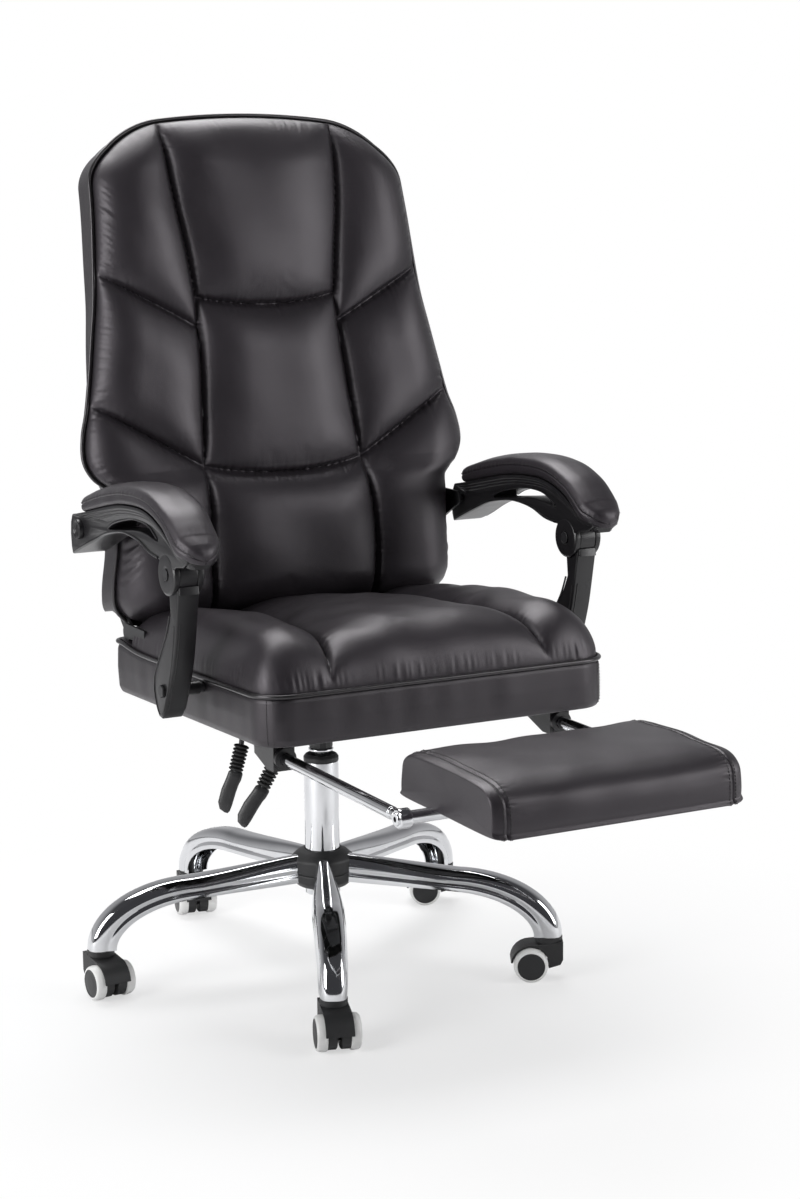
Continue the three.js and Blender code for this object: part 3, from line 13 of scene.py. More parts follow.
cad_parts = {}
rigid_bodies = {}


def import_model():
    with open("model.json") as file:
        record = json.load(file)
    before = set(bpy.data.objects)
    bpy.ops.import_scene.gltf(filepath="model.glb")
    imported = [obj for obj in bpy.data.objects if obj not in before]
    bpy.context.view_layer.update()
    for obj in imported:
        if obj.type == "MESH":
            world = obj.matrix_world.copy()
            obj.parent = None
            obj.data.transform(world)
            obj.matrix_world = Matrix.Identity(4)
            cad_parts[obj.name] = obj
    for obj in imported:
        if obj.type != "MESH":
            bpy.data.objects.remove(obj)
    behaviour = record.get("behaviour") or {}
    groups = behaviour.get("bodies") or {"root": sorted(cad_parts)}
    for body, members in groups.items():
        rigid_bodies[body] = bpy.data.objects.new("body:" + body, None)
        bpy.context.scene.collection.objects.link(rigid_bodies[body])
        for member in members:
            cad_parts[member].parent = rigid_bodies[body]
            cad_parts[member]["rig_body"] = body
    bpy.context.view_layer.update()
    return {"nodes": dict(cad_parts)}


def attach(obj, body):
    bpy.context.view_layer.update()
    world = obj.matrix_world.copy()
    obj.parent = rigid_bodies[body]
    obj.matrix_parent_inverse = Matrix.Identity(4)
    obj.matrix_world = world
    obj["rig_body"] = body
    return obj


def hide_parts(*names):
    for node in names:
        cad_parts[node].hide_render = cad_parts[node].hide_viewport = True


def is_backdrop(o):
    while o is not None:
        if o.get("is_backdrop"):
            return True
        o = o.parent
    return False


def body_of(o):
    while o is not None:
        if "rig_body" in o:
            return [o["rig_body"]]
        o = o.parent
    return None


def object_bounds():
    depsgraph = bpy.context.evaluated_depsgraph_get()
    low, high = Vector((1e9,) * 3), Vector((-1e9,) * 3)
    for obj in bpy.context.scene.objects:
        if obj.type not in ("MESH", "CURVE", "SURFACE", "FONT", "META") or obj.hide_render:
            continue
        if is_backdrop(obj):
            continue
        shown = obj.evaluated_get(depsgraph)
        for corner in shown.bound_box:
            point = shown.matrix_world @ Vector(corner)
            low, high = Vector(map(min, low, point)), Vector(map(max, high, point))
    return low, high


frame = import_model()
nodes = frame["nodes"]

# Camera: it stands ahead of the chair and to the sitter's right, a little above the arms, and looks
# slightly down. The picture is taller than it is wide.
yaw, pitch, roll = (math.radians(angle) for angle in (-27.739932709, 10.400120025, -0.481627985))
behind = Vector((math.sin(yaw) * math.cos(pitch), -math.cos(yaw) * math.cos(pitch), math.sin(pitch)))
level = Vector((math.cos(yaw), math.sin(yaw), 0.0))
upright = behind.cross(level)
across = math.cos(roll) * level + math.sin(roll) * upright
above = -math.sin(roll) * level + math.cos(roll) * upright
camera = bpy.data.objects.new("camera", bpy.data.cameras.new("camera"))
bpy.context.scene.collection.objects.link(camera)
camera.matrix_world = Matrix((
    (across.x, above.x, behind.x, -1.43420648),
    (across.y, above.y, behind.y, -2.77513630),
    (across.z, above.z, behind.z, 1.14297923),
    (0.0, 0.0, 0.0, 1.0),
))
camera.data.lens = 71.74054
camera.data.sensor_width = 36.0
bpy.context.scene.camera = camera


# Base: five pressed legs of bright chromed steel. Each is an inverted channel that runs out from the
# hub nearly level and then bends down over its caster.
class Wire:
    """A socket in a material's nodes; sums and products of wires add Math nodes."""

    def __init__(self, tree, socket=None):
        self.tree, self.socket = tree, socket

    def node(self, kind, settings, values, output=0):
        """Any node: its settings are set first, then its sockets' values or links."""
        made = self.tree.nodes.new("ShaderNode" + kind)
        for name, value in settings.items():
            if name == "stops":
                for count, (at, colour) in enumerate(value):
                    ramp = made.color_ramp.elements
                    stop = ramp[count] if count < 2 else ramp.new(at)
                    stop.position, stop.color = at, colour
            else:
                setattr(made, name, value)
        for name, value in values.items():
            if isinstance(value, Wire):
                self.tree.links.new(value.socket, made.inputs[name])
            else:
                made.inputs[name].default_value = value
        return Wire(self.tree, made.outputs[output])

    def noise(self, place, scale, detail, output=0, **more):
        """Noise at a place: so many swells to the metre, and so many layers of finer ones."""
        return self.node("TexNoise", {}, {"Vector": place, "Scale": scale, "Detail": detail, **more}, output)

    def blend(self, share, first, second):
        """The first colour where the share is 0, and the second where it is 1."""
        return self.node("Mix", {"data_type": "RGBA"}, {0: share, 6: first, 7: second}, 2)

    def maths(self, operation, first, second):
        return self.node("Math", {"operation": operation}, {0: first, 1: second})

    def __add__(self, other):
        return self.maths("ADD", self, other)

    def __mul__(self, other):
        return self.maths("MULTIPLY", self, other)

    __radd__, __rmul__ = __add__, __mul__

    def feeds(self, shader, socket):
        self.tree.links.new(self.socket, shader.inputs[socket])

    def embosses(self, shader, strength, depth):
        """A bump of the shader's surface whose height is this wire."""
        values = {"Strength": strength, "Distance": depth, "Height": self}
        self.node("Bump", {}, values).feeds(shader, "Normal")


def finish(name, **constants):
    """A material, its shader with the constants set on its own sockets, a first wire, and the place wire."""
    made = bpy.data.materials.new(name)
    made.use_nodes = True
    shader = made.node_tree.nodes["Principled BSDF"]
    for socket, value in constants.items():
        shader.inputs[socket.replace("_", " ")].default_value = value
    wire = Wire(made.node_tree)
    return made, shader, wire, wire.node("TexCoord", {}, {}, output=3)


def chromed():
    """Polished chrome: faint clouds of polish in the roughness, and fine wiping marks in the bump."""
    made, shader, wire, place = finish("bright_chrome", Metallic=1.0)
    cloud = wire.noise(place, 22.0, 4.0)
    (cloud * 0.06 + 0.035).feeds(shader, "Roughness")
    wire.blend(cloud, (0.64, 0.65, 0.665, 1.0), (0.79, 0.795, 0.81, 1.0)).feeds(shader, "Base Color")
    wire.noise(place, 900.0, 2.0).embosses(shader, 0.04, 0.0004)
    return made


def placed(name, data):
    """A new object for the data, linked into the scene."""
    made = bpy.data.objects.new(name, data)
    bpy.context.scene.collection.objects.link(made)
    return made


def sewn_up(name, mesh, looks, body, replaced=(), crease=40.0):
    """Merges a mesh's doubles, turns its faces out, smooths all but the creases, and puts it on its body."""
    work = bmesh.new()
    work.from_mesh(mesh)
    bmesh.ops.remove_doubles(work, verts=work.verts, dist=1e-5)
    bmesh.ops.recalc_face_normals(work, faces=work.faces)
    work.to_mesh(mesh)
    work.free()
    mesh.shade_smooth()
    mesh.set_sharp_from_angle(angle=math.radians(crease))
    for look in looks:
        mesh.materials.append(look)
    made = placed(name, mesh)
    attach(made, body)
    if replaced:
        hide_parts(*replaced)
    return made


def quads(rows, columns):
    """A grid's faces: point (i, j) is joined to (i + 1, j), (i + 1, j + 1) and (i, j + 1)."""
    index = np.arange(rows * columns).reshape(rows, columns)
    return np.stack([index[:-1, :-1], index[1:, :-1], index[1:, 1:], index[:-1, 1:]], -1).reshape(-1, 4)


column_place = (12.0, 222.0, 0.0)


def piece(name, parts, looks, body, replaced=(), crease=40.0):
    """A mesh from parts, each a grid of points or a pair of points and faces, in millimetres from the column.
    Each part has the look in its own place, and those past the last look have that one.
    """
    points, faces, kinds, start = [], [], [], 0
    for kind, part in enumerate(parts):
        if not isinstance(part, tuple):
            part = part.reshape(-1, 3), quads(*part.shape[:2]).tolist()
        corners, sides = part
        points.append(corners)
        faces += [[start + corner for corner in side] for side in sides]
        kinds += [min(kind, len(looks) - 1)] * len(sides)
        start += len(corners)
    mesh = bpy.data.meshes.new(name)
    mesh.from_pydata(((np.concatenate(points) + column_place) / 1000.0).tolist(), [], faces)
    mesh.polygons.foreach_set("material_index", kinds)
    return sewn_up(name, mesh, looks, body, replaced, crease)


def fan(ring, tip=None):
    """A ring of points joined to a tip, or else to its own mean."""
    return np.stack([ring, np.broadcast_to(ring.mean(0) if tip is None else tip, ring.shape)])


def spun(points, degrees):
    """Points turned about the upright axis: (x cos a - y sin a, x sin a + y cos a, z)."""
    a = math.radians(degrees)
    return points @ np.array([[math.cos(a), math.sin(a), 0], [-math.sin(a), math.cos(a), 0], [0, 0, 1]])


def eased(t):
    """Slow at both ends: (1 - cos(pi t)) / 2."""
    return (1.0 - np.cos(np.pi * t)) / 2.0


def powered(value, power):
    """The value's size to the power, with the value's own sign."""
    return np.sign(value) * np.abs(value) ** power


leg_count = 5
base_turn = -23.7
leg_root, leg_shoulder, stem_circle = 29.6, 202, 332
leg_height, leg_fall, leg_foot = 145, 7, 63
leg_wall = 2.0


def leg_grids():
    """Arch sections carried from hub to caster. Half an arch is (w/2 |cos a|^0.62, d sin a^0.62), drawn in
    by a tenth along a groove above its rolled edge. The run is a straight slope; the bend is a quarter of an
    ellipse, square to which the sections lean.
    """
    run, bend = np.linspace(0, 1, 20, endpoint=False), np.linspace(0, 1, 30)
    tilt = math.atan2(leg_fall, leg_shoulder)
    root_depth, shoulder_depth, tip_depth = 38, 28, 36
    root_width, shoulder_width, tip_width = 28, 46, 38
    root = leg_root - root_depth / 2 * math.sin(tilt)
    turn = bend * np.pi / 2
    throw, drop = stem_circle - leg_shoulder, leg_height - leg_fall - leg_foot
    lean = np.concatenate([np.full(20, tilt), np.arctan2(drop * np.sin(turn), throw * np.cos(turn))])
    reach = np.concatenate([root + (leg_shoulder - root) * run, leg_shoulder + throw * np.sin(turn)])
    height = np.concatenate([leg_height - leg_fall * run, leg_foot + drop * np.cos(turn)])
    width = np.concatenate([root_width + (shoulder_width - root_width) * eased(run),
                            shoulder_width + (tip_width - shoulder_width) * bend])
    depth = np.concatenate([root_depth + (shoulder_depth - root_depth) * eased(run),
                            shoulder_depth + (tip_depth - shoulder_depth) * bend])
    a = np.linspace(0, np.pi, 65)
    wide = powered(np.cos(a), 0.62)
    tall = np.sin(a) ** 0.62
    tall[-1] = 0.0
    wide = wide * (1 - 0.1 * np.exp(-((tall - 0.36) / 0.09) ** 2))

    def skin_of(wall):
        """The channel's skin, drawn in by the wall."""
        x = (width / 2 - wall)[:, None] * wide
        up = -depth[:, None] / 2 + (depth - wall)[:, None] * tall
        return np.stack([x, -reach[:, None] - np.sin(lean)[:, None] * up,
                         height[:, None] + np.cos(lean)[:, None] * up], -1)

    outer, inner = skin_of(0.0), skin_of(leg_wall)
    channel = np.concatenate([outer, inner[:, ::-1], outer[:, :1]], 1)
    return [channel, np.stack([outer[0], inner[0]]), fan(outer[-1], (outer[-1, 0] + outer[-1, -1]) / 2)]


chrome = chromed()
leg_turns = [base_turn + 360 / leg_count * count for count in range(leg_count)]
for count, leg_turn in enumerate(leg_turns):
    piece(f"chrome_leg_{count + 1}", [spun(grid, leg_turn) for grid in leg_grids()], [chrome], "base",
          [f"leg_{count + 1}"])


# Hub: a two-part cover moulded in black nylon, dull with a fine spark grain. Its halves close round the
# legs' roots and the chromed sleeve that the legs are welded to.
def moulded(name, colour, roughness, grain, spark_scale=2600.0):
    """Moulded plastic: a spark-eroded grain in the bump, and a slow change of gloss and colour over it."""
    made, shader, wire, place = finish(name, IOR=1.5)
    spark = wire.noise(place, spark_scale, 2.0, Roughness=0.6)
    cloud = wire.noise(place, 14.0, 5.0, Roughness=0.65)
    (spark * 0.08 + cloud * 0.14 + (roughness - 0.11)).feeds(shader, "Roughness")
    dark, pale = ((*(channel * share for channel in colour), 1.0) for share in (0.8, 1.25))
    wire.blend(cloud, dark, pale).feeds(shader, "Base Color")
    spark.embosses(shader, grain, 0.0006)
    return made


def turned(profile, steps=96):
    """A turned piece: the profile's points (radius, height) carried round as (r cos a, r sin a, h)."""
    a = np.linspace(0, 2 * np.pi, steps + 1)
    radius, height = np.asarray(profile, float).T
    return np.stack([np.outer(radius, np.cos(a)), np.outer(radius, np.sin(a)),
                     np.repeat(height[:, None], steps + 1, 1)], -1)


def unit(vectors):
    """Each vector over its length."""
    return vectors / np.maximum(np.linalg.norm(vectors, axis=-1, keepdims=True), 1e-9)


def softened(corners, radius, closed=True, steps=5):
    """An outline with eased corners. Corner P between sides becomes (1-t)^2 A + 2t(1-t) P + t^2 B, where A
    and B lie on the two sides at the radius from P, or half way along a shorter side.
    """
    corners = np.asarray(corners, float)
    t = np.linspace(0, 1, steps)[None, :, None]
    ends = []
    for shift in (1, -1):
        side = np.roll(corners, shift, 0) - corners
        half = np.linalg.norm(side, axis=1, keepdims=True) / 2
        ends.append(corners + unit(side) * np.minimum(radius, half))
    curve = (1 - t) ** 2 * ends[0][:, None] + 2 * t * (1 - t) * corners[:, None] + t ** 2 * ends[1][:, None]
    if not closed:
        return np.concatenate([corners[:1], curve[1:-1].reshape(-1, corners.shape[1]), corners[-1:]])
    around = curve.reshape(-1, corners.shape[1])
    return np.concatenate([around, around[:1]])


nylon = moulded("black_nylon", (0.016, 0.016, 0.017), 0.5, 0.25)
cover_top = softened([(25.5, 168.5), (33.5, 164), (42.5, 158), (42.5, 138.2), (45, 138.2), (45, 158),
                      (36, 166.5), (27.2, 171), (25.5, 171)], 3.0)
cover_bottom = softened([(25.5, 117), (36, 117), (45, 126), (45, 137.8), (42.5, 137.8), (42.5, 126),
                         (35, 119.5), (25.5, 119.5)], 2.5)
sleeve = softened([(25.3, 121), (29.3, 121), (29.3, 166), (25.3, 166)], 0.8)
piece("hub_cover_upper", [turned(cover_top)], [nylon], "base", ["hub_cover_top"])
piece("hub_cover_lower", [turned(cover_bottom)], [nylon], "base", ["hub_cover_bottom"])
piece("hub_weld_sleeve", [turned(sleeve, 64)], [chrome], "base", ["hub_sleeve"])

# Column: a chromed stand tube that stands in the hub's sleeve, the black nylon guide bush in its mouth,
# and the gas cylinder that slides in it, with a black collar below its taper.
tube = softened([(23.5, 105), (25, 105), (25, 300), (23.5, 300)], 0.6)
bush = softened([(14.3, 240), (23.2, 240), (23.2, 300.3), (25.2, 300.3), (25.2, 306), (22.5, 309.5),
                 (20.5, 310), (19.5, 306.5), (16.5, 306.5), (14.3, 305)], 0.8)
cylinder = softened([(0, 190), (14, 190), (14, 313.5), (16.5, 314), (18, 315.5), (18, 318), (16.5, 319.3),
                     (14, 319.5)], 0.7, closed=False)
collar = softened([(14, 319.5), (16, 319.5), (17, 321), (17, 357), (16, 358.5), (12.6, 362), (12.6, 400),
                   (0, 400)], 0.7, closed=False)
piece("stand_tube", [turned(tube)], [chrome], "base", ["column_tube"])
piece("guide_bush", [turned(bush)], [nylon], "base", ["column_bush"])
piece("lift_cylinder", [turned(cylinder), turned(collar, 12)], [chrome, nylon], "lift", ["gas_cylinder"],
      24.0)


# Casters: each has a hood moulded with its stem's collar, and two wheels with a pale soft tread and a
# dark cap pressed into the outer face.
def dressed(name, node, look, bevel=0.6):
    """A copy of a CAD node with its corners merged, its flat faces whole and its edges rounded by a bevel."""
    sharp = 38.0
    mesh = nodes[node].data.copy()
    mesh.materials.clear()
    work = bmesh.new()
    work.from_mesh(mesh)
    bmesh.ops.remove_doubles(work, verts=work.verts, dist=1e-6)
    bmesh.ops.dissolve_limit(work, angle_limit=math.radians(0.5), verts=work.verts, edges=work.edges)
    work.to_mesh(mesh)
    work.free()
    made = sewn_up(name, mesh, [look], body_of(nodes[node])[0], [node], sharp)
    edges = made.modifiers.new("edges", "BEVEL")
    edges.width, edges.segments, edges.limit_method = bevel / 1000.0, 2, "ANGLE"
    edges.angle_limit = math.radians(sharp)
    flats = made.modifiers.new("flats", "WEIGHTED_NORMAL")
    flats.keep_sharp = False
    return made


def across_x(profile, centre, side, at, steps=72):
    """A turned piece on a sideways axis: (radius, reach) becomes x = at + side * reach, round the centre."""
    return turned(profile, steps)[:, :, [2, 0, 1]] * (side, 1, 1) + (at, *centre)


tread = moulded("pale_tread", (0.72, 0.72, 0.71), 0.38, 0.08)
cap = moulded("dark_cap", (0.016, 0.016, 0.017), 0.42, 0.12)
core = [(7, 2.6), (21, 2.6), (22.4, 4), (22.4, 17)]
tyre = softened([(22.4, 15.5), (23.8, 15.6), (24.4, 17), (24.4, 22), (23.6, 27), (21.8, 29.4), (20.1, 29.8),
                 (16, 27.6)], 1.2, closed=False)
disc = softened([(20.2, 28.0), (19.8, 29.4), (18.2, 29.9), (17, 29.5), (9, 30.3), (0, 30.4)], 0.5,
                closed=False)
axle = (26.5, 24.4)
for count, (leg_turn, heading) in enumerate(zip(leg_turns, (253.3, 152.3, 155, 260, 275))):
    stem = spun(np.array([0.0, -stem_circle, 0.0]), leg_turn)
    dressed(f"caster_{count + 1}_hood", f"caster_{count + 1}_housing", nylon, 1.6)
    for hand, side in (("right", 1), ("left", -1)):
        rings = [spun(across_x(ring, axle, side, 0), heading - 90) + stem for ring in (core, tyre, disc)]
        piece(f"caster_{count + 1}_wheel_{hand}_shod", rings, [cap, tread, cap], f"caster_{count + 1}_{hand}",
              [f"caster_{count + 1}_wheel_{hand}"])


# Mechanism: a pressed steel pan with the cylinder's socket and the plate that is screwed to the seat,
# painted black, as are the hinges, the brackets and the bolts.
def painted():
    """Black paint on steel: orange peel in the bump, a little dust, and paler steel where it has rubbed."""
    made, shader, wire, place = finish("black_paint", IOR=1.5)
    cloud = wire.noise(place, 30.0, 6.0, Roughness=0.7)
    wire.node("ValToRGB", {"stops": [(0.35, (0.011, 0.011, 0.012, 1)), (0.75, (0.024, 0.024, 0.026, 1))]},
              {"Fac": cloud}).feeds(shader, "Base Color")
    (cloud * 0.25 + 0.28).feeds(shader, "Roughness")
    wire.noise(place, 420.0, 2.0).embosses(shader, 0.15, 0.0005)
    return made


paint = painted()
dressed("seat_mechanism", "mechanism", paint, 1.2)
for hand in ("left", "right"):
    for node in ("seat_hinge", "back_hinge", "post_bolt", "arm_bracket", "arm_hinge_pin"):
        dressed(f"{node}_{hand}_steel", f"{node}_{hand}", paint)


# Levers: bent steel rods that come out under the seat's right side. Each turns down through a ribbed
# rubber boot to a paddle grip.
def cord(path, radius, over, closed=False, around=20):
    """A round bar along a path: P + r (cos a S + sin a O), where O is `over` squared to the path and S is the
    cross product of path and O. The radius may change from point to point.
    """
    path, over = np.asarray(path, float), np.asarray(over, float)
    ahead = unit(np.roll(path, -1, 0) - np.roll(path, 1, 0) if closed else np.gradient(path, axis=0))
    up = unit(over - ahead * (ahead @ over)[:, None])
    side = np.cross(ahead, up)
    a = np.linspace(0, 2 * np.pi, around + 1)[None, :, None]
    reach = np.broadcast_to(np.asarray(radius, float), (len(path),))[:, None, None]
    rings = path[:, None] + reach * (np.cos(a) * side[:, None] + np.sin(a) * up[:, None])
    if closed:
        return np.concatenate([rings, rings[:1]])
    ends = [np.repeat(path[k][None, None], around + 1, 1) for k in (0, -1)]
    return np.concatenate([ends[0], rings, ends[1]])


rubber = moulded("boot_rubber", (0.008, 0.008, 0.008), 0.6, 0.3, 1200.0)
grip_plastic = moulded("grip_plastic", (0.02, 0.02, 0.021), 0.42, 0.12)
lever_root, lever_side, lever_height, knee_height = -88, -187, 403.5, 377
lever_rod_radius, grip_start, grip_length, boot_start, boot_length, boot_ribs = 3.5, 36.6, 58, 0.6, 36, 7
for name, front, lean in (("height", 145, math.radians(16)), ("recline", 252, math.radians(31))):
    knee = np.array([lever_side, -front, knee_height])
    down = np.array([-math.sin(lean), 0, -math.cos(lean)])
    broad = unit(np.array([0.84, -0.54, 0]) - down * (0.84 * down[0]))
    thick = np.cross(broad, down)
    bend = softened([(lever_root, lever_height), (lever_side, lever_height), (lever_side, knee_height),
                     (knee + down * 40)[[0, 2]]], 12, False, 9)
    rod = np.stack([bend[:, 0], np.full(len(bend), -front), bend[:, 1]], -1)
    rod = cord(rod, lever_rod_radius, (0, 1, 0))
    share = np.linspace(0, 1, 60)
    left = np.interp(share, (0, 0.05, 0.2, 0.5, 0.8, 0.95, 1), (6.5, 9, 10, 13, 13.2, 9, 1.5))
    right = np.interp(share, (0, 0.05, 0.2, 0.3, 0.5, 0.8, 0.95, 1), (9, 10.5, 10, 8.4, 7.2, 6.2, 5, 3))
    deep = np.interp(share, (0, 0.04, 0.12, 0.45, 0.8, 0.94, 1), (2.5, 4, 5.2, 5, 4, 2.8, 1.2))
    a = np.linspace(0, 2 * np.pi, 49)
    wide, high = powered(np.cos(a), 0.7), powered(np.sin(a), 0.7)
    middle = knee + down * (grip_start + grip_length * share[:, None])
    spread = np.where(wide > 0, right[:, None], left[:, None]) * wide
    grip = middle[:, None] + spread[..., None] * broad + (deep[:, None] * high)[..., None] * thick
    piece(f"{name}_lever_rod_and_grip", [rod, grip, fan(grip[0]), fan(grip[-1])], [paint, grip_plastic],
          f"{name}_lever", [f"{name}_lever"], 50.0)
    share = np.linspace(0, 1, 120)
    rib = (6.8 + 3.8 * np.abs(np.sin(share * boot_ribs * np.pi)) ** 0.75) * (1 - 0.06 * share)
    boot = cord(knee + down * (boot_start + boot_length * share[:, None]), rib, (0, 1, 0), around=32)
    piece(f"{name}_lever_bellows", [boot], [rubber], body_of(nodes[f"{name}_lever_boot"])[0],
          [f"{name}_lever_boot"], 60.0)


# Seat box: the upholstered border round the seat's frame, black coated leather with a sewn seam at each
# corner, pulled under and stapled to the board below.
def leather(name, tone, roughness, cell=900.0, grain=0.22, coat=0.12):
    """Coated leather: small cells pressed into it, soft creases wider apart, colour paler on the cells' tops
    and gloss that varies with both.
    """
    made, shader, wire, place = finish(name, IOR=1.5, Coat_Roughness=0.3, Coat_Weight=coat,
                                       Specular_Tint=(1, 0.93, 1, 1))
    drift = wire.noise(place, 60.0, 2.0, output=1)
    bent = wire.node("Mix", {"data_type": "RGBA", "blend_type": "LINEAR_LIGHT"},
                     {0: 0.0015, 6: place, 7: drift}, output=2)
    cells = wire.node("TexVoronoi", {"feature": "DISTANCE_TO_EDGE"}, {"Vector": bent, "Scale": cell})
    tops = wire.node("ValToRGB", {"stops": [(0.0, (0, 0, 0, 1)), (0.22, (1, 1, 1, 1))]}, {"Fac": cells})
    cloud = wire.noise(place, 9.0, 6.0, Roughness=0.6)
    crease = wire.noise(place, 130.0, 4.0, Roughness=0.55, Distortion=0.6)
    (cloud * 0.18 + tops * -0.05 + (roughness - 0.06)).feeds(shader, "Roughness")
    dark, pale = ((*(channel * share for channel in tone), 1.0) for share in (0.72, 1.22))
    wire.blend(cloud * 0.7 + tops * 0.3, dark, pale).feeds(shader, "Base Color")
    (tops * 0.6 + crease).embosses(shader, grain, 0.0006)
    return made


seat_half, seat_front, seat_rear = 255, 371, 146
front_corner, rear_corner = 46, 26
seat_length = seat_front + seat_rear
seat_underside, seat_tilt = 408.6, math.radians(2.35)
box_height = 65
board_middle = (0, -110)


def seated(points):
    """Points set out on the seat's underside, at height h, and tilted to the rear by a:
    (x, y cos a + z sin a, h - y sin a + z cos a).
    """
    x, y, z = np.moveaxis(np.asarray(points, float), -1, 0)
    return np.stack([x, y * math.cos(seat_tilt) + z * math.sin(seat_tilt),
                     seat_underside - y * math.sin(seat_tilt) + z * math.cos(seat_tilt)], -1)


def seat_plan(inset, steps=24):
    """The seat's outline, counter-clockwise from the front: straight sides joined by quarter circles, all
    drawn in by the inset, with each side cut into 61 parts.
    """
    wide, front, rear = seat_half - inset, inset - seat_front, seat_rear - inset
    fore, aft = front_corner - inset, rear_corner - inset
    t = np.linspace(0, np.pi / 2, steps)
    arcs = [(wide - fore, front + fore, fore, t - np.pi / 2), (wide - aft, rear - aft, aft, t),
            (-wide + aft, rear - aft, aft, t + np.pi / 2), (-wide + fore, front + fore, fore, t + np.pi)]
    corners = [np.stack([x + radius * np.cos(angle), y + radius * np.sin(angle)], -1)
               for x, y, radius, angle in arcs]
    ring = []
    for corner, after in zip(corners, corners[1:] + corners[:1]):
        ring += [corner, corner[-1] + (after[0] - corner[-1]) * np.linspace(0, 1, 62)[1:-1, None]]
    return np.concatenate(ring + [corners[0][:1]])


def ripple(along, length, seed):
    """Uneven gathers: sine waves with lengths between 0.6 and 1.8 of `length`, chance phases and chance
    weights w, added up and divided by 2 sqrt(sum of w^2 / 2).
    """
    chance, waves = np.random.default_rng(seed), 9
    lengths = length * np.geomspace(0.6, 1.8, waves)
    phases = chance.uniform(0, 2 * np.pi, waves)
    weights = chance.uniform(0.5, 1.0, waves)
    heights = np.sin(2 * np.pi * np.asarray(along)[..., None] / lengths + phases)
    return (heights * weights).sum(-1) / math.sqrt((weights ** 2).sum() / 2) / 2


def welt_rise(x, y):
    """How far the sewn edge is drawn up at the seat's rear corners: 9 mm, a bell along both axes."""
    return 9 * np.exp(-((np.abs(x) - 240) / 60) ** 2 - ((y - 125) / 55) ** 2)


hide = leather("black_leather", (0.019, 0.0165, 0.0195), 0.39)
box_hide = leather("border_leather", (0.016, 0.0142, 0.0162), 0.42)
border = softened([(60, 0.0), (4, 0.0), (0, 8), (-0.8, 34), (0, 58), (3.2, 63.5), (4, 64.8)], 3.0, False, 6)
border_height = border[:, 1:]
plan = np.stack([seat_plan(inset) for inset in border[:, 0]])
lift = welt_rise(plan[..., 0], plan[..., 1]) * (border_height / box_height) ** 2
slack = 0.7 * ripple(plan[..., 0] - plan[..., 1], 70.0, 2) * np.sin(np.pi * border_height / box_height)
plan = plan * (1 + slack / seat_half)[..., None]
border_grid = np.concatenate([plan, (border_height + lift)[..., None]], -1)
border_ends = [fan(border_grid[k], (*board_middle, border[k, 1])) for k in (0, -1)]
piece("seat_border", [seated(grid) for grid in (border_grid, *border_ends)], [box_hide], "seat", ["seat_box"],
      60.0)

# Dust cover: a sheet of black felt stapled under the seat, 16 mm smaller than the seat all round. Its
# colour is darker than black felt, as painted shade for the underside of the seat.
# Painted shade: a base colour of 0.004 with little specular, darker than real black felt, stands in for the
# shade under the seat.
felt, felt_shader, wire, place = finish("dust_cover_felt_painted_shade", Base_Color=(0.004, 0.004, 0.004, 1),
                                        Specular_IOR_Level=0.1)
fuzz = wire.noise(place, 700.0, 3.0)
(fuzz * 0.1 + 0.88).feeds(felt_shader, "Roughness")
fuzz.embosses(felt_shader, 0.5, 0.001)
cover = np.stack([np.pad(seat_plan(inset), ((0, 0), (0, 1)), constant_values=z)
                  for inset, z in ((16, 0.3), (16, -0.3), (18, -0.6))])
piece("seat_dust_cover", [seated(cover), seated(fan(cover[-1], (*board_middle, -0.6)))], [felt], "seat")


def travelled(line):
    """How far along a line of points each of them lies."""
    return np.concatenate([[0], np.cumsum(np.linalg.norm(np.diff(line, axis=0), axis=1))])


def reached(line, at):
    """The places at these distances along a line of points, straight between its points."""
    return np.stack([np.interp(at, travelled(line), column) for column in np.asarray(line, float).T], -1)


def stitches(name, lines, look, body, spacing=4.2, length=3.0, thick=0.55):
    """Sewn lines: one six-sided spindle to each spacing along each line of points, P + s l A + r (cos a S +
    sin a U) with A along the line and S and U square to it, one mesh for all.
    """
    a = np.linspace(0, 2 * np.pi, 7)[:, None, None]
    spindle = np.array([(-0.5, 0.25), (-0.3, 0.9), (0.3, 0.9), (0.5, 0.25)])
    share, girth = spindle.T[:, :, None, None, None]
    sewn = []
    for line in lines:
        at = np.arange(spacing / 2, travelled(line)[-1], spacing)
        middle = reached(line, at)
        ahead = unit(reached(line, at + 0.5) - middle)
        level_enough = np.abs(ahead[:, 2:]) < 0.8
        side = unit(np.cross(ahead, np.where(level_enough, [[0.0, 0.0, 1.0]], [[1.0, 0.0, 0.0]])))
        ring = (np.cos(a) * side + np.sin(a) * np.cross(side, ahead)) * thick
        sewn.append((middle + share * length * ahead + girth * ring).transpose(2, 0, 1, 3))
    points = np.concatenate(sewn)
    each = points.shape[1] * points.shape[2]
    faces = each * np.arange(len(points))[:, None, None] + quads(*points.shape[1:3])
    return piece(name, [(points.reshape(-1, 3), faces.reshape(-1, 4).tolist())], [look], body)


thread = moulded("black_thread", (0.02, 0.019, 0.02), 0.55, 0.3, 3000.0)
seams = []
height = np.linspace(3, 60, 40)
for end, reach, radius, turn in ((-1, seat_front, front_corner, 0.09), (1, seat_rear, rear_corner, 0.14)):
    bow = radius + 0.35 + np.interp(height, border[:, 1], -border[:, 0])
    for hand in (-1, 1):
        for angle in (math.atan2(end, hand) - turn, math.atan2(end, hand) + turn):
            x = hand * (seat_half - radius) + bow * math.cos(angle)
            y = end * (reach - radius) + bow * math.sin(angle)
            seams.append(seated(np.stack([x, y, height], -1)))
stitches("seat_corner_stitches", seams, thread, "seat")

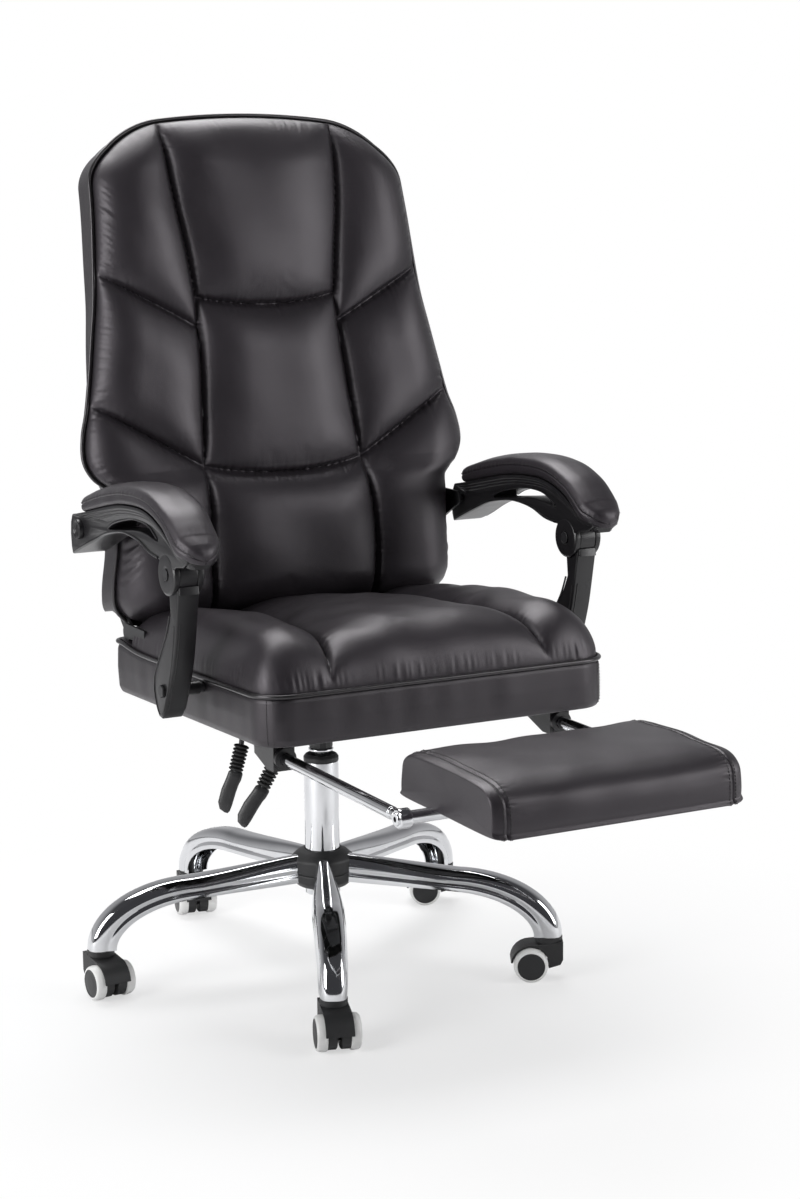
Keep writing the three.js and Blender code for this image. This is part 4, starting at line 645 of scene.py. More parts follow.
# Seat piping: a cord covered in glossier leather, sewn in all round the seat where the border meets the
# cushion.
piping = leather("glossy_piping", (0.012, 0.012, 0.012), 0.3, 1400.0, 0.08, 0.3)
piping_radius = 3.0
x, y = seat_plan(0)[:-1].T
welt = seated(np.stack([x, y, box_height + welt_rise(x, y)], -1))
piece("seat_welt", [cord(welt, piping_radius, (0, 0, 1), True)], [piping], "seat", ["seat_piping"])


# Seat cushion: three lobes of foam under black leather, sewn down along two seams that draw together to
# the rear, and gathered along the front edge.
def quarter(distance, reach):
    """Quarter-round rise from an edge: sqrt(1 - (1 - d / reach)^2), held at 1 beyond the reach."""
    return np.sqrt(1.0 - (1.0 - np.clip(distance / reach, 0.0, 1.0)) ** 2)


def outward(grid):
    """Unit normals of a grid: the cross product of its two directions."""
    return unit(np.cross(np.gradient(grid, axis=1), np.gradient(grid, axis=0)))


seam_front, seam_rear = 164, 112
crown_front, crown_rear = 76, 40
hinge_clearance = 16.5


def seat_seam(y):
    """Distance of each seam from the middle, from its front to its rear value by the root of the share."""
    return seam_front - (seam_front - seam_rear) * np.sqrt(np.clip((y + seat_front) / seat_length, 0, 1))


def seat_edge(y, inset):
    """Half width of the plan outline, drawn in by the inset."""
    fore, aft = front_corner - inset, rear_corner - inset
    return (seat_half - inset - fore * (1 - quarter(y + seat_front - inset, fore))
            - aft * (1 - quarter(seat_rear - inset - y, aft)))


def clouds(x, y, length, seed):
    """Uneven swells: thirty plane waves in chance directions, 0.6 to 2 of `length` long, added up and divided
    by the root of 15.
    """
    chance, waves = np.random.default_rng(seed), 30
    turn, phase = chance.uniform(0, 2 * np.pi, (2, waves))
    lengths = length * chance.uniform(0.6, 2.0, waves)
    along = x[..., None] * np.cos(turn) + y[..., None] * np.sin(turn)
    return np.sin(2 * np.pi * along / lengths + phase).sum(-1) / math.sqrt(waves / 2)


def settled(grid, held, side, most):
    """How far the leather moves when the foam behind it presses evenly. Every fourth point of the grid is
    simulated as cloth for twenty frames, held where it is sewn. A move d becomes d / (1 + |d| / most), and is
    then spread over the points between by straight lines and a running mean.
    """
    frames = 20
    pick = [np.unique(np.r_[0:count:4, count - 1]) for count in grid.shape[:2]]
    coarse = grid[np.ix_(*pick)]
    faces = quads(*coarse.shape[:2])[:, ::-1 if side > 0 else 1]
    mesh = bpy.data.meshes.new("settling")
    mesh.from_pydata((coarse.reshape(-1, 3) / 1000).tolist(), [], faces.tolist())
    sheet = placed("settling", mesh)
    sheet.vertex_groups.new(name="sewn").add(np.flatnonzero(held[np.ix_(*pick)]).tolist(), 1.0, "REPLACE")
    cloth = sheet.modifiers.new("cloth", "CLOTH")
    how = cloth.settings
    how.quality, how.vertex_group_mass, how.effector_weights.gravity = 6, "sewn", 0.0
    how.tension_stiffness = how.compression_stiffness = 30.0
    how.bending_stiffness, how.use_pressure, how.uniform_pressure_force = 2.0, True, 4.0
    cloth.point_cache.frame_start, cloth.point_cache.frame_end = 1, frames
    for moment in range(1, frames + 1):
        bpy.context.scene.frame_set(moment)
    shape = sheet.evaluated_get(bpy.context.evaluated_depsgraph_get()).data
    after = np.zeros(len(shape.vertices) * 3)
    shape.vertices.foreach_get("co", after)
    bpy.context.scene.frame_set(1)
    bpy.data.objects.remove(sheet)
    move = after.reshape(coarse.shape) * 1000 - coarse
    move = move / (1 + np.linalg.norm(move, axis=-1, keepdims=True) / most)
    for axis, chosen in enumerate(pick):
        every = np.arange(grid.shape[axis])
        move = np.apply_along_axis(lambda line: np.interp(every, chosen, line), axis, move)
        wider = np.pad(move, [(2, 2) if k == axis else (0, 0) for k in range(3)], mode="edge")
        move = sum(np.take(wider, every + k, axis) for k in range(5)) / 5
    return move


grid_edges = ((0, slice(None)), (-1, slice(None)), (slice(None), 0), (slice(None), -1))


def boxed(top, under):
    """A cushion's grids: its top, a coarser underside, and a strip between them along each of their edges."""
    return [top, under[::4, ::4], *(np.stack([top[edge], under[edge]]) for edge in grid_edges)]


sewn_in = 3.6
rows, columns = 280, 320
y = sewn_in - seat_front + (seat_length - 2 * sewn_in) * eased(np.linspace(0, 1, rows + 1))[:, None]
edge = seat_edge(y, sewn_in)
x = edge * np.sin(np.linspace(-np.pi / 2, np.pi / 2, columns + 1))[None, :]
y = np.broadcast_to(y, x.shape)
fall = np.clip((y + seat_front) / seat_length * 1.6 - 0.6, 0, 1) ** 1.3
crest = crown_front - (crown_front - crown_rear) * fall
hinge_room = hinge_clearance * eased(np.clip((y - 78) / 14, 0, 1))
rim_side = quarter(edge - np.abs(x) - hinge_room, 64.0)
rim_front = quarter(y + seat_front - sewn_in, 80.0)
rim_rear = quarter(seat_rear - sewn_in - y, 30.0)
away = np.abs(x) - seat_seam(y)
lobe = quarter(np.sqrt(away ** 2 + 9) - 3, np.where(away > 0, 70.0, 96.0))
valley = 31 * (1 - lobe) + 6 * np.exp(-(away / 4.4) ** 2)
rise = rim_side * rim_front * rim_rear * (crest - valley)
top = np.stack([x, y, box_height + 3.7 + rise + welt_rise(x, y) * np.exp(-rise / 25)], -1)
out = np.sign(outward(top)[..., 2].mean())
top = top + settled(top, (np.abs(away) < 6.5) | (rise < 5), out, 9.0)
patchy = 0.55 + 0.45 * ripple(x + y, 120.0, 4)
low = np.exp(-((rise - 11) / 11.0) ** 2) * (rise > 0.5)
front_fold = 0.5 * patchy * ripple(x, 11.0, 3) * low * (y < -300)
side_fold = 0.55 * patchy * ripple(y, 15.0, 5) * low * (y >= -300)
seam_fold = 0.55 * ripple(y + 40 * np.sign(x), 10.0, 7) * np.exp(-np.abs(away) / 9.0) * rim_front * rim_rear
loose = 0.8 * clouds(x, y, 95.0, 11) * rim_side * rim_front
top = top + out * outward(top) * (front_fold + side_fold + seam_fold + loose)[..., None]
foot = box_height + 0.4 + welt_rise(x, y)
for edge_of in grid_edges:
    top[edge_of + (2,)] = foot[edge_of] + 3.3
flat = np.stack([top[..., 0], top[..., 1], foot], -1)
seat_pad = piece("seat_lobes", [seated(grid) for grid in boxed(top, flat)], [hide], "seat", ["seat_cushion"],
                 75.0)

# Footrest guides: blocks moulded in the arms' black plastic and screwed under the seat's front corners,
# in which the rods slide.
arm_plastic = moulded("arm_plastic", (0.0115, 0.011, 0.0122), 0.3, 0.07)
for hand in ("left", "right"):
    dressed(f"rod_guide_{hand}", f"guide_block_{hand}", arm_plastic, 2.6)

# Footrest slides: chromed steel rods with a neck and a forged lug at the front end. A screw in each lug
# holds the cross tube, a chromed tube that the pad turns with.
rod_side, rod_height, footrest_pivot = 205, 397.5, -640
rod_profile = softened([(0, -240), (7.2, -240), (8, -241), (8, -613.6), (6.6, -615), (6.5, -624.2),
                        (8.4, -624.7), (8.4, -628), (6.5, -628.5), (6.5, footrest_pivot)], 0.5, False)
lug_profile = softened([(0, -8), (10.5, -8), (12, -6.5), (12, 6.5), (10.5, 8.2), (7.8, 8.2), (7.8, 10.2),
                        (7.2, 10.8), (3.4, 10.8)], 0.6, False)
socket_profile = [(3.4, 10.8), (3.2, 10.6), (3.2, 7.4), (0, 7.4)]
for hand, side in (("left", 1), ("right", -1)):
    rod = turned(rod_profile, 48)[:, :, [0, 2, 1]] + (side * rod_side, 0, rod_height)
    lug, socket = (across_x(profile, (footrest_pivot, rod_height), side, side * rod_side, steps)
                   for profile, steps in ((lug_profile, 64), (socket_profile, 6)))
    piece(f"slide_rod_{hand}", [rod, lug, socket], [chrome, chrome, paint], "footrest_slide",
          [f"footrest_rod_{hand}"])
cross_ends = [(x, footrest_pivot, rod_height) for x in (-197.7, 197.7)]
piece("cross_tube", [cord(cross_ends, 8.0, (0, 0, 1), around=40)], [chrome], "footrest", ["footrest_tube"])


# Footrest board: bare plywood, screwed to the cross tube and seen only from below, with the pad's leather
# stapled round it.
def plywood():
    """Birch plywood: long rings from stretched noise, paler and darker, and the same grain in the bump."""
    made, shader, wire, place = finish("bare_plywood", IOR=1.45)
    stretch = wire.node("Mapping", {}, {"Vector": place, "Scale": (6.0, 90.0, 90.0)})
    grain = wire.noise(stretch, 3.0, 6.0, Distortion=1.2)
    wire.node("ValToRGB", {"stops": [(0.3, (0.36, 0.24, 0.13, 1)), (0.7, (0.55, 0.41, 0.25, 1))]},
              {"Fac": grain}).feeds(shader, "Base Color")
    (grain * 0.2 + 0.6).feeds(shader, "Roughness")
    grain.embosses(shader, 0.3, 0.0005)
    return made


dressed("footrest_plywood", "footrest_board", plywood(), 0.4)


# Footrest pad: a plump bolster of foam in the seat's leather, wrapped over the board, with a grooved seam
# near each end that is stitched on both sides.
def spline(points, steps):
    """A smooth line through points: between two of them, the cubic that leaves each along the line joining
    its neighbours, sampled at equal parameters.
    """
    points = np.asarray(points, float)
    count = len(points)
    at = np.linspace(0, count - 1, steps)
    k = np.minimum(at.astype(int), count - 2)
    t = (at - k)[:, None]
    p0, p1 = points[np.maximum(k - 1, 0)], points[k]
    p2, p3 = points[k + 1], points[np.minimum(k + 2, count - 1)]
    v0, v1 = (p2 - p0) / 2, (p3 - p1) / 2
    return (p1 * (2 * t ** 3 - 3 * t ** 2 + 1) + p2 * (3 * t ** 2 - 2 * t ** 3)
            + v0 * (t ** 3 - 2 * t ** 2 + t) + v1 * (t ** 3 - t ** 2))


pad_half, pad_front, pad_rear, pad_foot, pad_height = 169.5, 148, 79, 399.5, 64
pad_seam, pad_stitch_gap = 17, 4.2
outline = spline([(0.5, 0), (0.97, 0), (1, 0.14), (0.998, 0.5), (0.975, 0.78), (0.9, 0.93), (0.77, 0.98),
                  (0.5, 1), (0.23, 0.975), (0.1, 0.91), (0.025, 0.74), (0.002, 0.5), (0, 0.14), (0.03, 0),
                  (0.5, 0)], 181)
reach = pad_half * np.sin(np.linspace(-1, 1, 241) * np.pi / 2)
inner = pad_half - np.abs(reach)
swell = (0.84 + 0.16 * quarter(inner, 24.0))[:, None]
pad = np.stack([np.repeat(reach[:, None], len(outline), 1),
                footrest_pivot + (pad_rear - pad_front) / 2
                + (pad_front + pad_rear) * (outline[:, 0] - 0.5) * (0.55 + 0.45 * swell),
                pad_foot + pad_height * (0.5 + (outline[:, 1] - 0.5) * swell)], -1)
high = np.clip((pad[..., 2] - 404) / 30, 0, 1)
groove = np.exp(-((inner - pad_seam) / 1.5) ** 2)[:, None]
out = np.sign((outward(pad)[..., 2] * (pad[..., 2] - pad_foot - pad_height / 2)).sum())
held = (np.abs(inner - pad_seam) < 3)[:, None] | (inner < 2)[:, None] | (pad[..., 2] < 404)
pad = pad + settled(pad, held, out, 5.0)
fold = (0.5 * ripple(pad[..., 1] + pad[..., 2], 9.0, 21) * np.exp(-((inner - 22) / 6) ** 2)[:, None]
        + 0.7 * clouds(pad[..., 0], pad[..., 1], 80.0, 22)) * high - 1.4 * groove
around = outward(pad) * out
pad = pad + around * fold[..., None]
sewn = [np.argmin(np.abs(inner - at) + (reach * hand < 0) * 1e3)
        for hand in (-1, 1) for at in (pad_seam - pad_stitch_gap, pad_seam + pad_stitch_gap)]
stitches("footrest_end_stitches", [(pad + around * 0.3)[k, 8:-8] for k in sewn], thread, "footrest")
pad_piece = piece("footrest_bolster", [pad, fan(pad[0]), fan(pad[-1])], [hide], "footrest", ["footrest_pad"],
                  75.0)


# Arms: on each side a moulded arm with a lens-shaped slot, stepped along the top where the pad sits and
# swelling to a round boss at the rear, and a moulded post. They meet in a barrel hinge at the front.
def plate(outlines, half_width, bevel):
    """Points and faces of a flat moulding: outlines in the side view, the first one solid and the others cut
    out, given thickness to both sides, with edges rounded by the bevel.
    """
    drawing = bpy.data.curves.new("outline", "CURVE")
    drawing.dimensions, drawing.fill_mode = "2D", "BOTH"
    drawing.extrude, drawing.bevel_depth, drawing.bevel_resolution = half_width - bevel, bevel, 3
    drawing.offset = -bevel
    for outline in outlines:
        line = drawing.splines.new("POLY")
        line.points.add(len(outline) - 1)
        corners = np.column_stack([outline, np.zeros(len(outline)), np.ones(len(outline))])
        line.points.foreach_set("co", corners.ravel())
        line.use_cyclic_u = True
    holder = placed("outline", drawing)
    mesh = bpy.data.meshes.new_from_object(holder)
    bpy.data.objects.remove(holder)
    points = np.zeros(len(mesh.vertices) * 3)
    mesh.vertices.foreach_get("co", points)
    return points.reshape(-1, 3), [tuple(face.vertices) for face in mesh.polygons]


def follow(rows, at, column):
    """A smooth curve through rows of numbers, looked up by their first: a cubic between two rows whose slopes
    are those of the chords between the rows on either side.
    """
    table = np.asarray(rows, float)
    key, value, last = table[:, 0], table[:, column], len(table) - 1
    at = np.asarray(at, float)
    k = np.clip(np.searchsorted(key, at, side="left") - 1, 0, last - 1)
    before, after = np.maximum(k - 1, 0), np.minimum(k + 2, last)
    width = key[k + 1] - key[k]
    t = np.clip((at - key[k]) / width, 0, 1)
    start = (value[k + 1] - value[before]) / (key[k + 1] - key[before])
    stop = (value[after] - value[k]) / (key[after] - key[k])
    return (value[k] * (2 * t ** 3 - 3 * t ** 2 + 1) + value[k + 1] * (3 * t ** 2 - 2 * t ** 3)
            + width * (start * (t ** 3 - 2 * t ** 2 + t) + stop * (t ** 3 - t ** 2)))


def even(line, count):
    """The same line as points at even spacing."""
    return reached(line, np.linspace(0, travelled(line)[-1], count))


arm_side = 297
arm_size = (292, 77)
barrel = np.array([-214.0, 629.0])
pivot = np.array([-180.0, 470.487])
post_rise = barrel[1] - pivot[1]
arm_top = barrel + arm_size * spline([
    (1.06, 0.515), (0.87, 0.649), (0.654, 0.818), (0.459, 0.948), (0.253, 1), (0.116, 0.961),
    (-0.01, 0.818), (-0.099, 0.636), (-0.172, 0.468), (-0.238, 0.39)], 300)
arm_rail = barrel + arm_size * spline([
    (0.075, 0.208), (0.185, 0.253), (0.301, 0.377), (0.425, 0.429), (0.545, 0.416),
    (0.719, 0.299), (0.84, 0.14), (0.95, -0.02), (1.05, -0.17)], 90)
arm_nose = barrel + arm_size * np.array([
    (-0.238, 0.312), (-0.19, 0.208), (-0.113, 0.169), (-0.075, 0.091), (0, 0)])
slot_top = barrel + arm_size * spline([
    (0.682, 0.429), (0.596, 0.558), (0.425, 0.701), (0.305, 0.74), (0.185, 0.701), (0.089, 0.532)], 50)
slot_foot = barrel + arm_size * spline([
    (0.089, 0.506), (0.144, 0.519), (0.205, 0.558), (0.325, 0.571), (0.507, 0.494), (0.675, 0.416)], 40)
rear_end = [(104, 612), (108, 622), (110, 640), (108, 657), (102, 668)]
arm_shape = np.concatenate([even(arm_top, 110), arm_nose, arm_rail, rear_end])
post_front = pivot + post_rise * spline([
    (-0.308, 0.597), (-0.264, 0.403), (-0.201, 0.214), (-0.101, 0.006), (0.0, -0.17)], 40)
post_rear = pivot + post_rise * spline([
    (0.10, -0.235), (0.165, -0.17), (0.226, -0.031), (0.208, 0.101), (0.094, 0.252), (0, 0.365),
    (-0.107, 0.503), (-0.189, 0.66)], 50)
post_heel = pivot + post_rise * np.array([(0.02, -0.215), (0.05, -0.243)])
post_shape = np.concatenate([
    [barrel + (-24.3, -17)], post_front, post_heel, post_rear, [barrel + (8.1, -17)]])
post_rim = even(np.concatenate([post_front, [pivot + post_rise * np.array((0.03, -0.2))], post_rear]), 90)
post_rim = post_rim.mean(0) + (post_rim - post_rim.mean(0)) * (0.86, 0.965)


def aside(x, line):
    """Points (y, z) of the side view set at a place x, or at one x each."""
    return np.stack([np.broadcast_to(x, (len(line),)), line[:, 0], line[:, 1]], -1)


def bead(x, line, radius, around=8):
    """A thin round rib along a line of the side view."""
    return cord(aside(x, line), radius, (1, 0, 0), around=around)


def flare(y):
    """How much wider the arm's outer face stands towards the rear: 1 rising to 1.42 between 10 and 90 mm."""
    return 1 + 0.42 * eased(np.clip((y - 10) / 80, 0, 1))


def along_top(last, further, count):
    """The arm's top line forward of y = `last`, run on straight past its nose, as points at even spacing."""
    line = arm_top[arm_top[:, 0] <= last]
    return even(np.concatenate([line, line[-1:] + further * unit(line[-1:] - line[-12:-11])]), count)


def square_to(line):
    """Unit vectors across a line of the side view: (dz, -dy) over its length."""
    ahead = unit(np.gradient(line, axis=0))
    return np.stack([ahead[:, 1], -ahead[:, 0]], -1)


def carried(x, up, line):
    """Sections carried along a line of the side view: x sideways, and up across the line."""
    over = square_to(line)
    return np.stack([x, line[:, :1] + over[:, :1] * up, line[:, 1:] + over[:, 1:] * up], -1)


def steps_under_pad(side):
    """The stepped rail under the pad: a stair section of three steps and a sloping foot, carried along the
    arm's top line, as wide as the pad above it and less deep towards the nose.
    """
    line = along_top(84, 2, 120)
    share = np.linspace(0, 1, 120)
    half = 31 * np.interp(share, (0, 0.1, 0.8, 1), (0.93, 1, 0.99, 0.9))
    half = half * (0.62 + 0.38 * quarter(1 - share, 0.09))
    stair = softened([(0, 0), (0.2, -1.2), (0.2, -4.2), (-2.2, -5.2), (-2.2, -8.2), (-4.6, -9.2),
                      (-4.6, -12.2), (-7.2, -13.4), (-8.8, -18.5)], 0.8, False, 4)
    deep = np.interp(share, (0, 0.06, 0.75, 1), (0.6, 1, 1, 0.85))
    right = np.stack([np.maximum(half[:, None] + stair[:, 0], 4), deep[:, None] * stair[:, 1]], -1)
    section = np.concatenate([right, right[:, ::-1] * (-1, 1), right[:, :1]], 1)
    grid = carried(side * arm_side + section[..., 0], section[..., 1], line)
    return [grid, fan(grid[0]), fan(grid[-1])]


arm_half, post_half = 21.0, 15.0
cheek = softened([(0, 18.2), (4.8, 18.2), (6, 19.6), (8.6, 19.6), (9.4, 21.2), (10.4, 21.6), (24.5, 21.6),
                  (27.6, 19.4), (27.6, 12.4), (0, 12.4)], 0.8, False)
screw_head = softened([(0, 19.8), (3.2, 20.4), (4.4, 19.4), (4.4, 18)], 0.4, False)
knuckle = softened([(0, -12.2), (26.4, -12.2), (27, -11.2), (27, 11.2), (26.4, 12.2), (0, 12.2)], 0.6, False)
boss = softened([(0, 30.2), (8.5, 30.2), (9.2, 31.6), (10.4, 31.8), (11.6, 33.4), (13.6, 33.4), (14.4, 28),
                 (14.4, 20)], 0.7, False)
boss_place = (78, 650)
pivot_boss = [(0, -14), (9, -14), (9, -34.4), (0, -34.4)]
shoulder = barrel + np.array([(-27, -24), (10, -24), (12, -14), (-25, -14)])
for hand, side in (("left", 1), ("right", -1)):
    middle = side * arm_side
    flat, sides = plate([arm_shape, np.concatenate([slot_top, slot_foot])], arm_half, 2.4)
    flared = flat[:, 2] * np.where(flat[:, 2] * side > 0, flare(flat[:, 0]), 1)
    beads = []
    for face in (-1, 1):
        for line in (arm_rail[2:] + (0, 2.2), slot_top + (0, 1.6)):
            wider = flare(line[:, 0]) if face == side else 1
            beads.append(bead(middle + face * (arm_half + 0.2) * wider, line, 1.7, 10))
    piece(f"arm_{hand}_moulding",
          [across_x(screw_head, barrel, -side, middle, 24), (aside(middle + flared, flat), sides),
           *steps_under_pad(side), *beads, *(across_x(cheek, barrel, face, middle) for face in (-1, 1)),
           across_x(boss, boss_place, side, middle)],
          [chrome, arm_plastic], f"arm_{hand}", [f"arm_frame_{hand}"], 35.0)
    parts = []
    for shape, half_width, bevel in ((post_shape, post_half, 2.6), (shoulder, 13.6, 1.5)):
        flat, sides = plate([shape], half_width, bevel)
        parts.append((aside(middle + flat[:, 2], flat), sides))
    parts += [bead(middle + face * (post_half - 0.2), post_rim, 1.3) for face in (-1, 1)]
    parts += [bead(middle - 9.5, even(post_front, 40) - (0.2, 0), 0.9), across_x(knuckle, barrel, 1, middle),
              across_x(pivot_boss, pivot, side, middle)]
    piece(f"arm_post_{hand}_moulding", parts, [arm_plastic], f"post_{hand}", [f"arm_post_{hand}"],
          35.0)


# Arm pads: foam under leather along the top of each arm, sewn with a seam between the top panel and a
# narrow band that runs round the nose.
half_section = [(0.3, 0), (0.8, 0), (0.97, 0.14), (1, 0.36), (0.96, 0.64), (0.8, 0.86), (0.42, 0.98)]
section = spline([(0, 0), *half_section, (0, 1), *((-x, y) for x, y in half_section[::-1]), (0, 0)], 145)
section_across, section_up = section.T
arm_pad_half, arm_pad_thickness = 32, 29
seam_up, stitch_up = 0.46, 0.56
line = along_top(70, 11, 400)
share = eased(np.linspace(0, 1, 221))
line = np.stack([np.interp(share, np.linspace(0, 1, 400), column) for column in line.T], -1)
ends = quarter(1 - share, 0.1) * quarter(share, 0.035)
width_shares = [(0, 0.93), (0.06, 1), (0.5, 1), (0.8, 0.99), (0.92, 0.95), (1, 0.93)]
thickness_shares = [(0, 0.7), (0.06, 0.86), (0.2, 1), (0.45, 1), (0.62, 0.97), (0.78, 0.95), (0.9, 1),
                    (1, 1.05)]
wide = arm_pad_half * follow(width_shares, share, 1) * ends
thick = arm_pad_thickness * follow(thickness_shares, share, 1) * (0.3 + 0.7 * ends)
sink = 6 * eased(np.clip((share - 0.78) / 0.2, 0, 1))
up = 0.3 - sink[:, None] + thick[:, None] * section_up
over = aside(0, square_to(line))
held = (np.abs(section_up - seam_up) < 0.06) | (section_up < 0.12) | (ends < 0.3)[:, None]
crest_part = np.clip(section_up * 4, 0, 1) * ends[:, None] ** 0.3
seam = np.exp(-((section_up - seam_up) / 0.035) ** 2)
arc = 420 * share[:, None] * np.ones_like(up)
for hand, side in (("left", 1), ("right", -1)):
    arm_pad = carried(side * arm_side + wide[:, None] * section_across, up, line)
    normal = outward(arm_pad)
    facing = np.sign((normal[:, len(section) // 2] * over).sum(-1).mean())
    normal = facing * normal
    arm_pad = arm_pad + settled(arm_pad, held, facing, 1.4)
    swell = (0.35 * ripple(arc + 30 * np.sign(section_across), 10.0, 31 + side)
             * np.exp(-((section_up - stitch_up) / 0.1) ** 2)
             + 0.25 * clouds(arc, 45 * section_across * np.ones_like(up), 70.0, 41 + side))
    arm_pad = arm_pad + normal * ((swell - 1.3 * seam) * crest_part)[..., None]
    made = piece(f"arm_pad_{hand}_leather", [arm_pad, fan(arm_pad[0]), fan(arm_pad[-1])], [hide],
                 f"arm_{hand}", [f"arm_pad_{hand}"], 75.0)
    above_seam = [np.argmin(np.abs(section_up - stitch_up) + (section_across * turn < 0) * 9)
                  for turn in (-1, 1)]
    stitches(f"arm_pad_{hand}_stitches", [(arm_pad + normal * 0.3)[4:-14, k] for k in above_seam],
             thread, f"arm_{hand}", 3.6, 2.6, 0.45)

# Backrest shell: the upholstered border and rear panel behind the piping, leather over a moulded board.
# The border draws in towards the rear, and the rear panel is slightly crowned.
back_half, back_low, back_rise = 298, 522, 688
rim_low, rim_high = 500, 1210
plane_front, plane_depth = 105, 131
rake = math.radians(12.5)
foot_round, top_round_width, top_round_height = 40, 112, 86
waist_taper, panel_crown = 28, 10.5
back_shares = [(0, 0.879, 0.115), (0.055, 0.886, 0.069), (0.131, 0.874, 0.012), (0.201, 0.874, 0),
               (0.238, 0.876, 0.018), (0.256, 0.912, 0.045), (0.276, 0.966, 0.099), (0.31, 1, 0.16),
               (0.36, 0.99, 0.229), (0.404, 0.96, 0.29), (0.477, 0.926, 0.366), (0.549, 0.896, 0.45),
               (0.622, 0.866, 0.534), (0.695, 0.849, 0.611), (0.811, 0.829, 0.733), (0.913, 0.819, 0.863),
               (1, 0.815, 1)]
taper_shares = [(0, 0), (0.21, 0), (0.235, 0.02), (0.264, 0.5), (0.31, 1), (0.4, 0.72), (0.54, 0.34),
                (0.73, 0.08), (1, 0)]
seam_shares = [(0, 0.941), (0.113, 0.956), (0.279, 0.912), (0.413, 0.857), (0.571, 0.809), (0.695, 0.842),
               (0.826, 0.934), (1, 1)]


def back_follow(rows, z, column=1):
    """A curve through rows of numbers, looked up by the height's share of the backrest."""
    return follow(rows, (z - back_low) / back_rise, column)


def back_edge(z, inset):
    """Half width of the backrest at a height, with rounded corners at the foot and the top."""
    return (back_half * back_follow(back_shares, z) - inset
            - foot_round * (1 - quarter(z - rim_low - inset, foot_round))
            - top_round_width * (1 - quarter(rim_high - inset - z, top_round_height)))


def back_plane(z):
    """Where the backrest's front plane stands: its foremost place plus its share of the plane's depth."""
    return plane_front + plane_depth * back_follow(back_shares, z, 2)


def arched(grid):
    """Lowers the top towards its corners by 10 (x / 150)^2, at most 20, fading out from 1200 to 1040 high."""
    drop = np.minimum(10 * (grid[..., 0] / 150) ** 2, 20) * eased(np.clip((grid[..., 2] - 1040) / 160, 0, 1))
    return grid - np.stack([0 * drop, 0 * drop, drop], -1)


def back_rim(inset, count=520):
    """The backrest's outline as points at even spacing, counter-clockwise seen from the front."""
    z = rim_low + inset + (rim_high - rim_low - 2 * inset) * eased(np.linspace(0, 1, 1600))
    right = np.stack([back_edge(z, inset), z], -1)
    return even(np.concatenate([right, (right * (-1, 1))[::-1], right[:1]]), count + 1)


def set_back(points, plane, depth):
    """Points (x, z) of the front view set behind the plane: (x, plane + d cos rake, z - d sin rake)."""
    return np.stack([points[:, 0], plane + depth * math.cos(rake), points[:, 1] - depth * math.sin(rake)], -1)


rim = back_rim(0.0)
rim_plane = back_plane(rim[:, 1])
facing = unit(np.gradient(rim, axis=0))
inwards = np.stack([-facing[:, 1], facing[:, 0]], -1)
taper = waist_taper * back_follow(taper_shares, rim[:, 1])
shell = []
border_shape = [(3.6, 0, 0.6), (1.0, 0, 3), (0, 0.1, 8), (0, 0.6, 30), (0, 1, 50), (3, 1, 54), (8, 1, 56.5)]
for inset, draw, depth in softened(border_shape, 3.0, False, 4):
    ring = rim + inwards * (inset + draw * taper)[:, None]
    ring[:, 1] = np.maximum(ring[:, 1], rim_low + 24 * np.clip(depth / 22, 0, 1))
    shell.append(set_back(ring, rim_plane, depth))
spine = np.stack([0 * rim[:, 1], np.clip(rim[:, 1], 640, 1080)], -1)
for share in np.linspace(0, 1, 14)[1:]:
    middle = share * spine + (1 - share) * ring
    shell.append(set_back(middle, back_plane(middle[:, 1]), depth + panel_crown * (1 - (1 - share) ** 2)))
shell = np.stack(shell)
front_face = np.stack([shell[0], set_back(spine, back_plane(spine[:, 1]), 1.0)])
piece("back_border", [arched(shell), arched(front_face)], [box_hide], "back", ["back_shell"], 60.0)

# Backrest piping: the same glossy cord, sewn in all round the front of the border, where the cushion's
# cover meets it.
piece("back_welt", [cord(arched(set_back(rim, rim_plane, 0.0))[:-1], piping_radius, (0, 1, 0), True)],
      [piping], "back", ["back_piping"])

# Backrest cushion: foam panels under leather. Two long seams part the middle from the side bolsters, and
# shorter seams across part the headrest, the main panel and the lumbar roll.
head_height, side_height, lumbar_height = 955, 913, 719
side_climb = 0.56
seam_side, seam_sag = 136, 13
lumbar_crown, main_crown = 68, 38
cushion_low, cushion_high = rim_low + sewn_in, rim_high - sewn_in
rows, columns = 520, 360
z = np.linspace(0, 1, rows + 1)
z = cushion_low + (cushion_high - cushion_low) * (0.7 * z + 0.3 * eased(z))[:, None]
edge = back_edge(z, sewn_in)
x = np.linspace(-1, 1, columns + 1)
x = edge * (0.5 * x + 0.5 * np.sin(x * np.pi / 2))[None, :]
z = np.broadcast_to(z, x.shape)
seam_x = seam_side * back_follow(seam_shares, z)
away = np.abs(x) - seam_x
sag = seam_sag * (1 - np.clip(x / seam_x, -1, 1) ** 2)
climb = math.cos(math.atan(side_climb))
head_line = np.where(away < 0, z - head_height + sag, (z - side_height - side_climb * away) * climb)
low_line = np.where(away < 0, z - lumbar_height + sag, (z - lumbar_height - side_climb * away) * climb)
nearest = np.minimum(np.minimum(np.abs(away), np.abs(head_line)), np.abs(low_line))
rim_round = quarter(edge - np.abs(x), 62) * quarter(z - cushion_low, 58) * quarter(cushion_high - z, 62)
above_foot = np.clip((z - back_low) / (lumbar_height - back_low), 0, 1)
crown = lumbar_crown - (lumbar_crown - main_crown) * above_foot
puff = np.ones_like(z)
for gap in (away, head_line, low_line):
    puff = puff * (0.25 + 0.75 * quarter(np.sqrt(gap ** 2 + 16) - 4, 64.0))
puff = (puff - 0.25 * puff.min()) / (1 - 0.25 * puff.min())
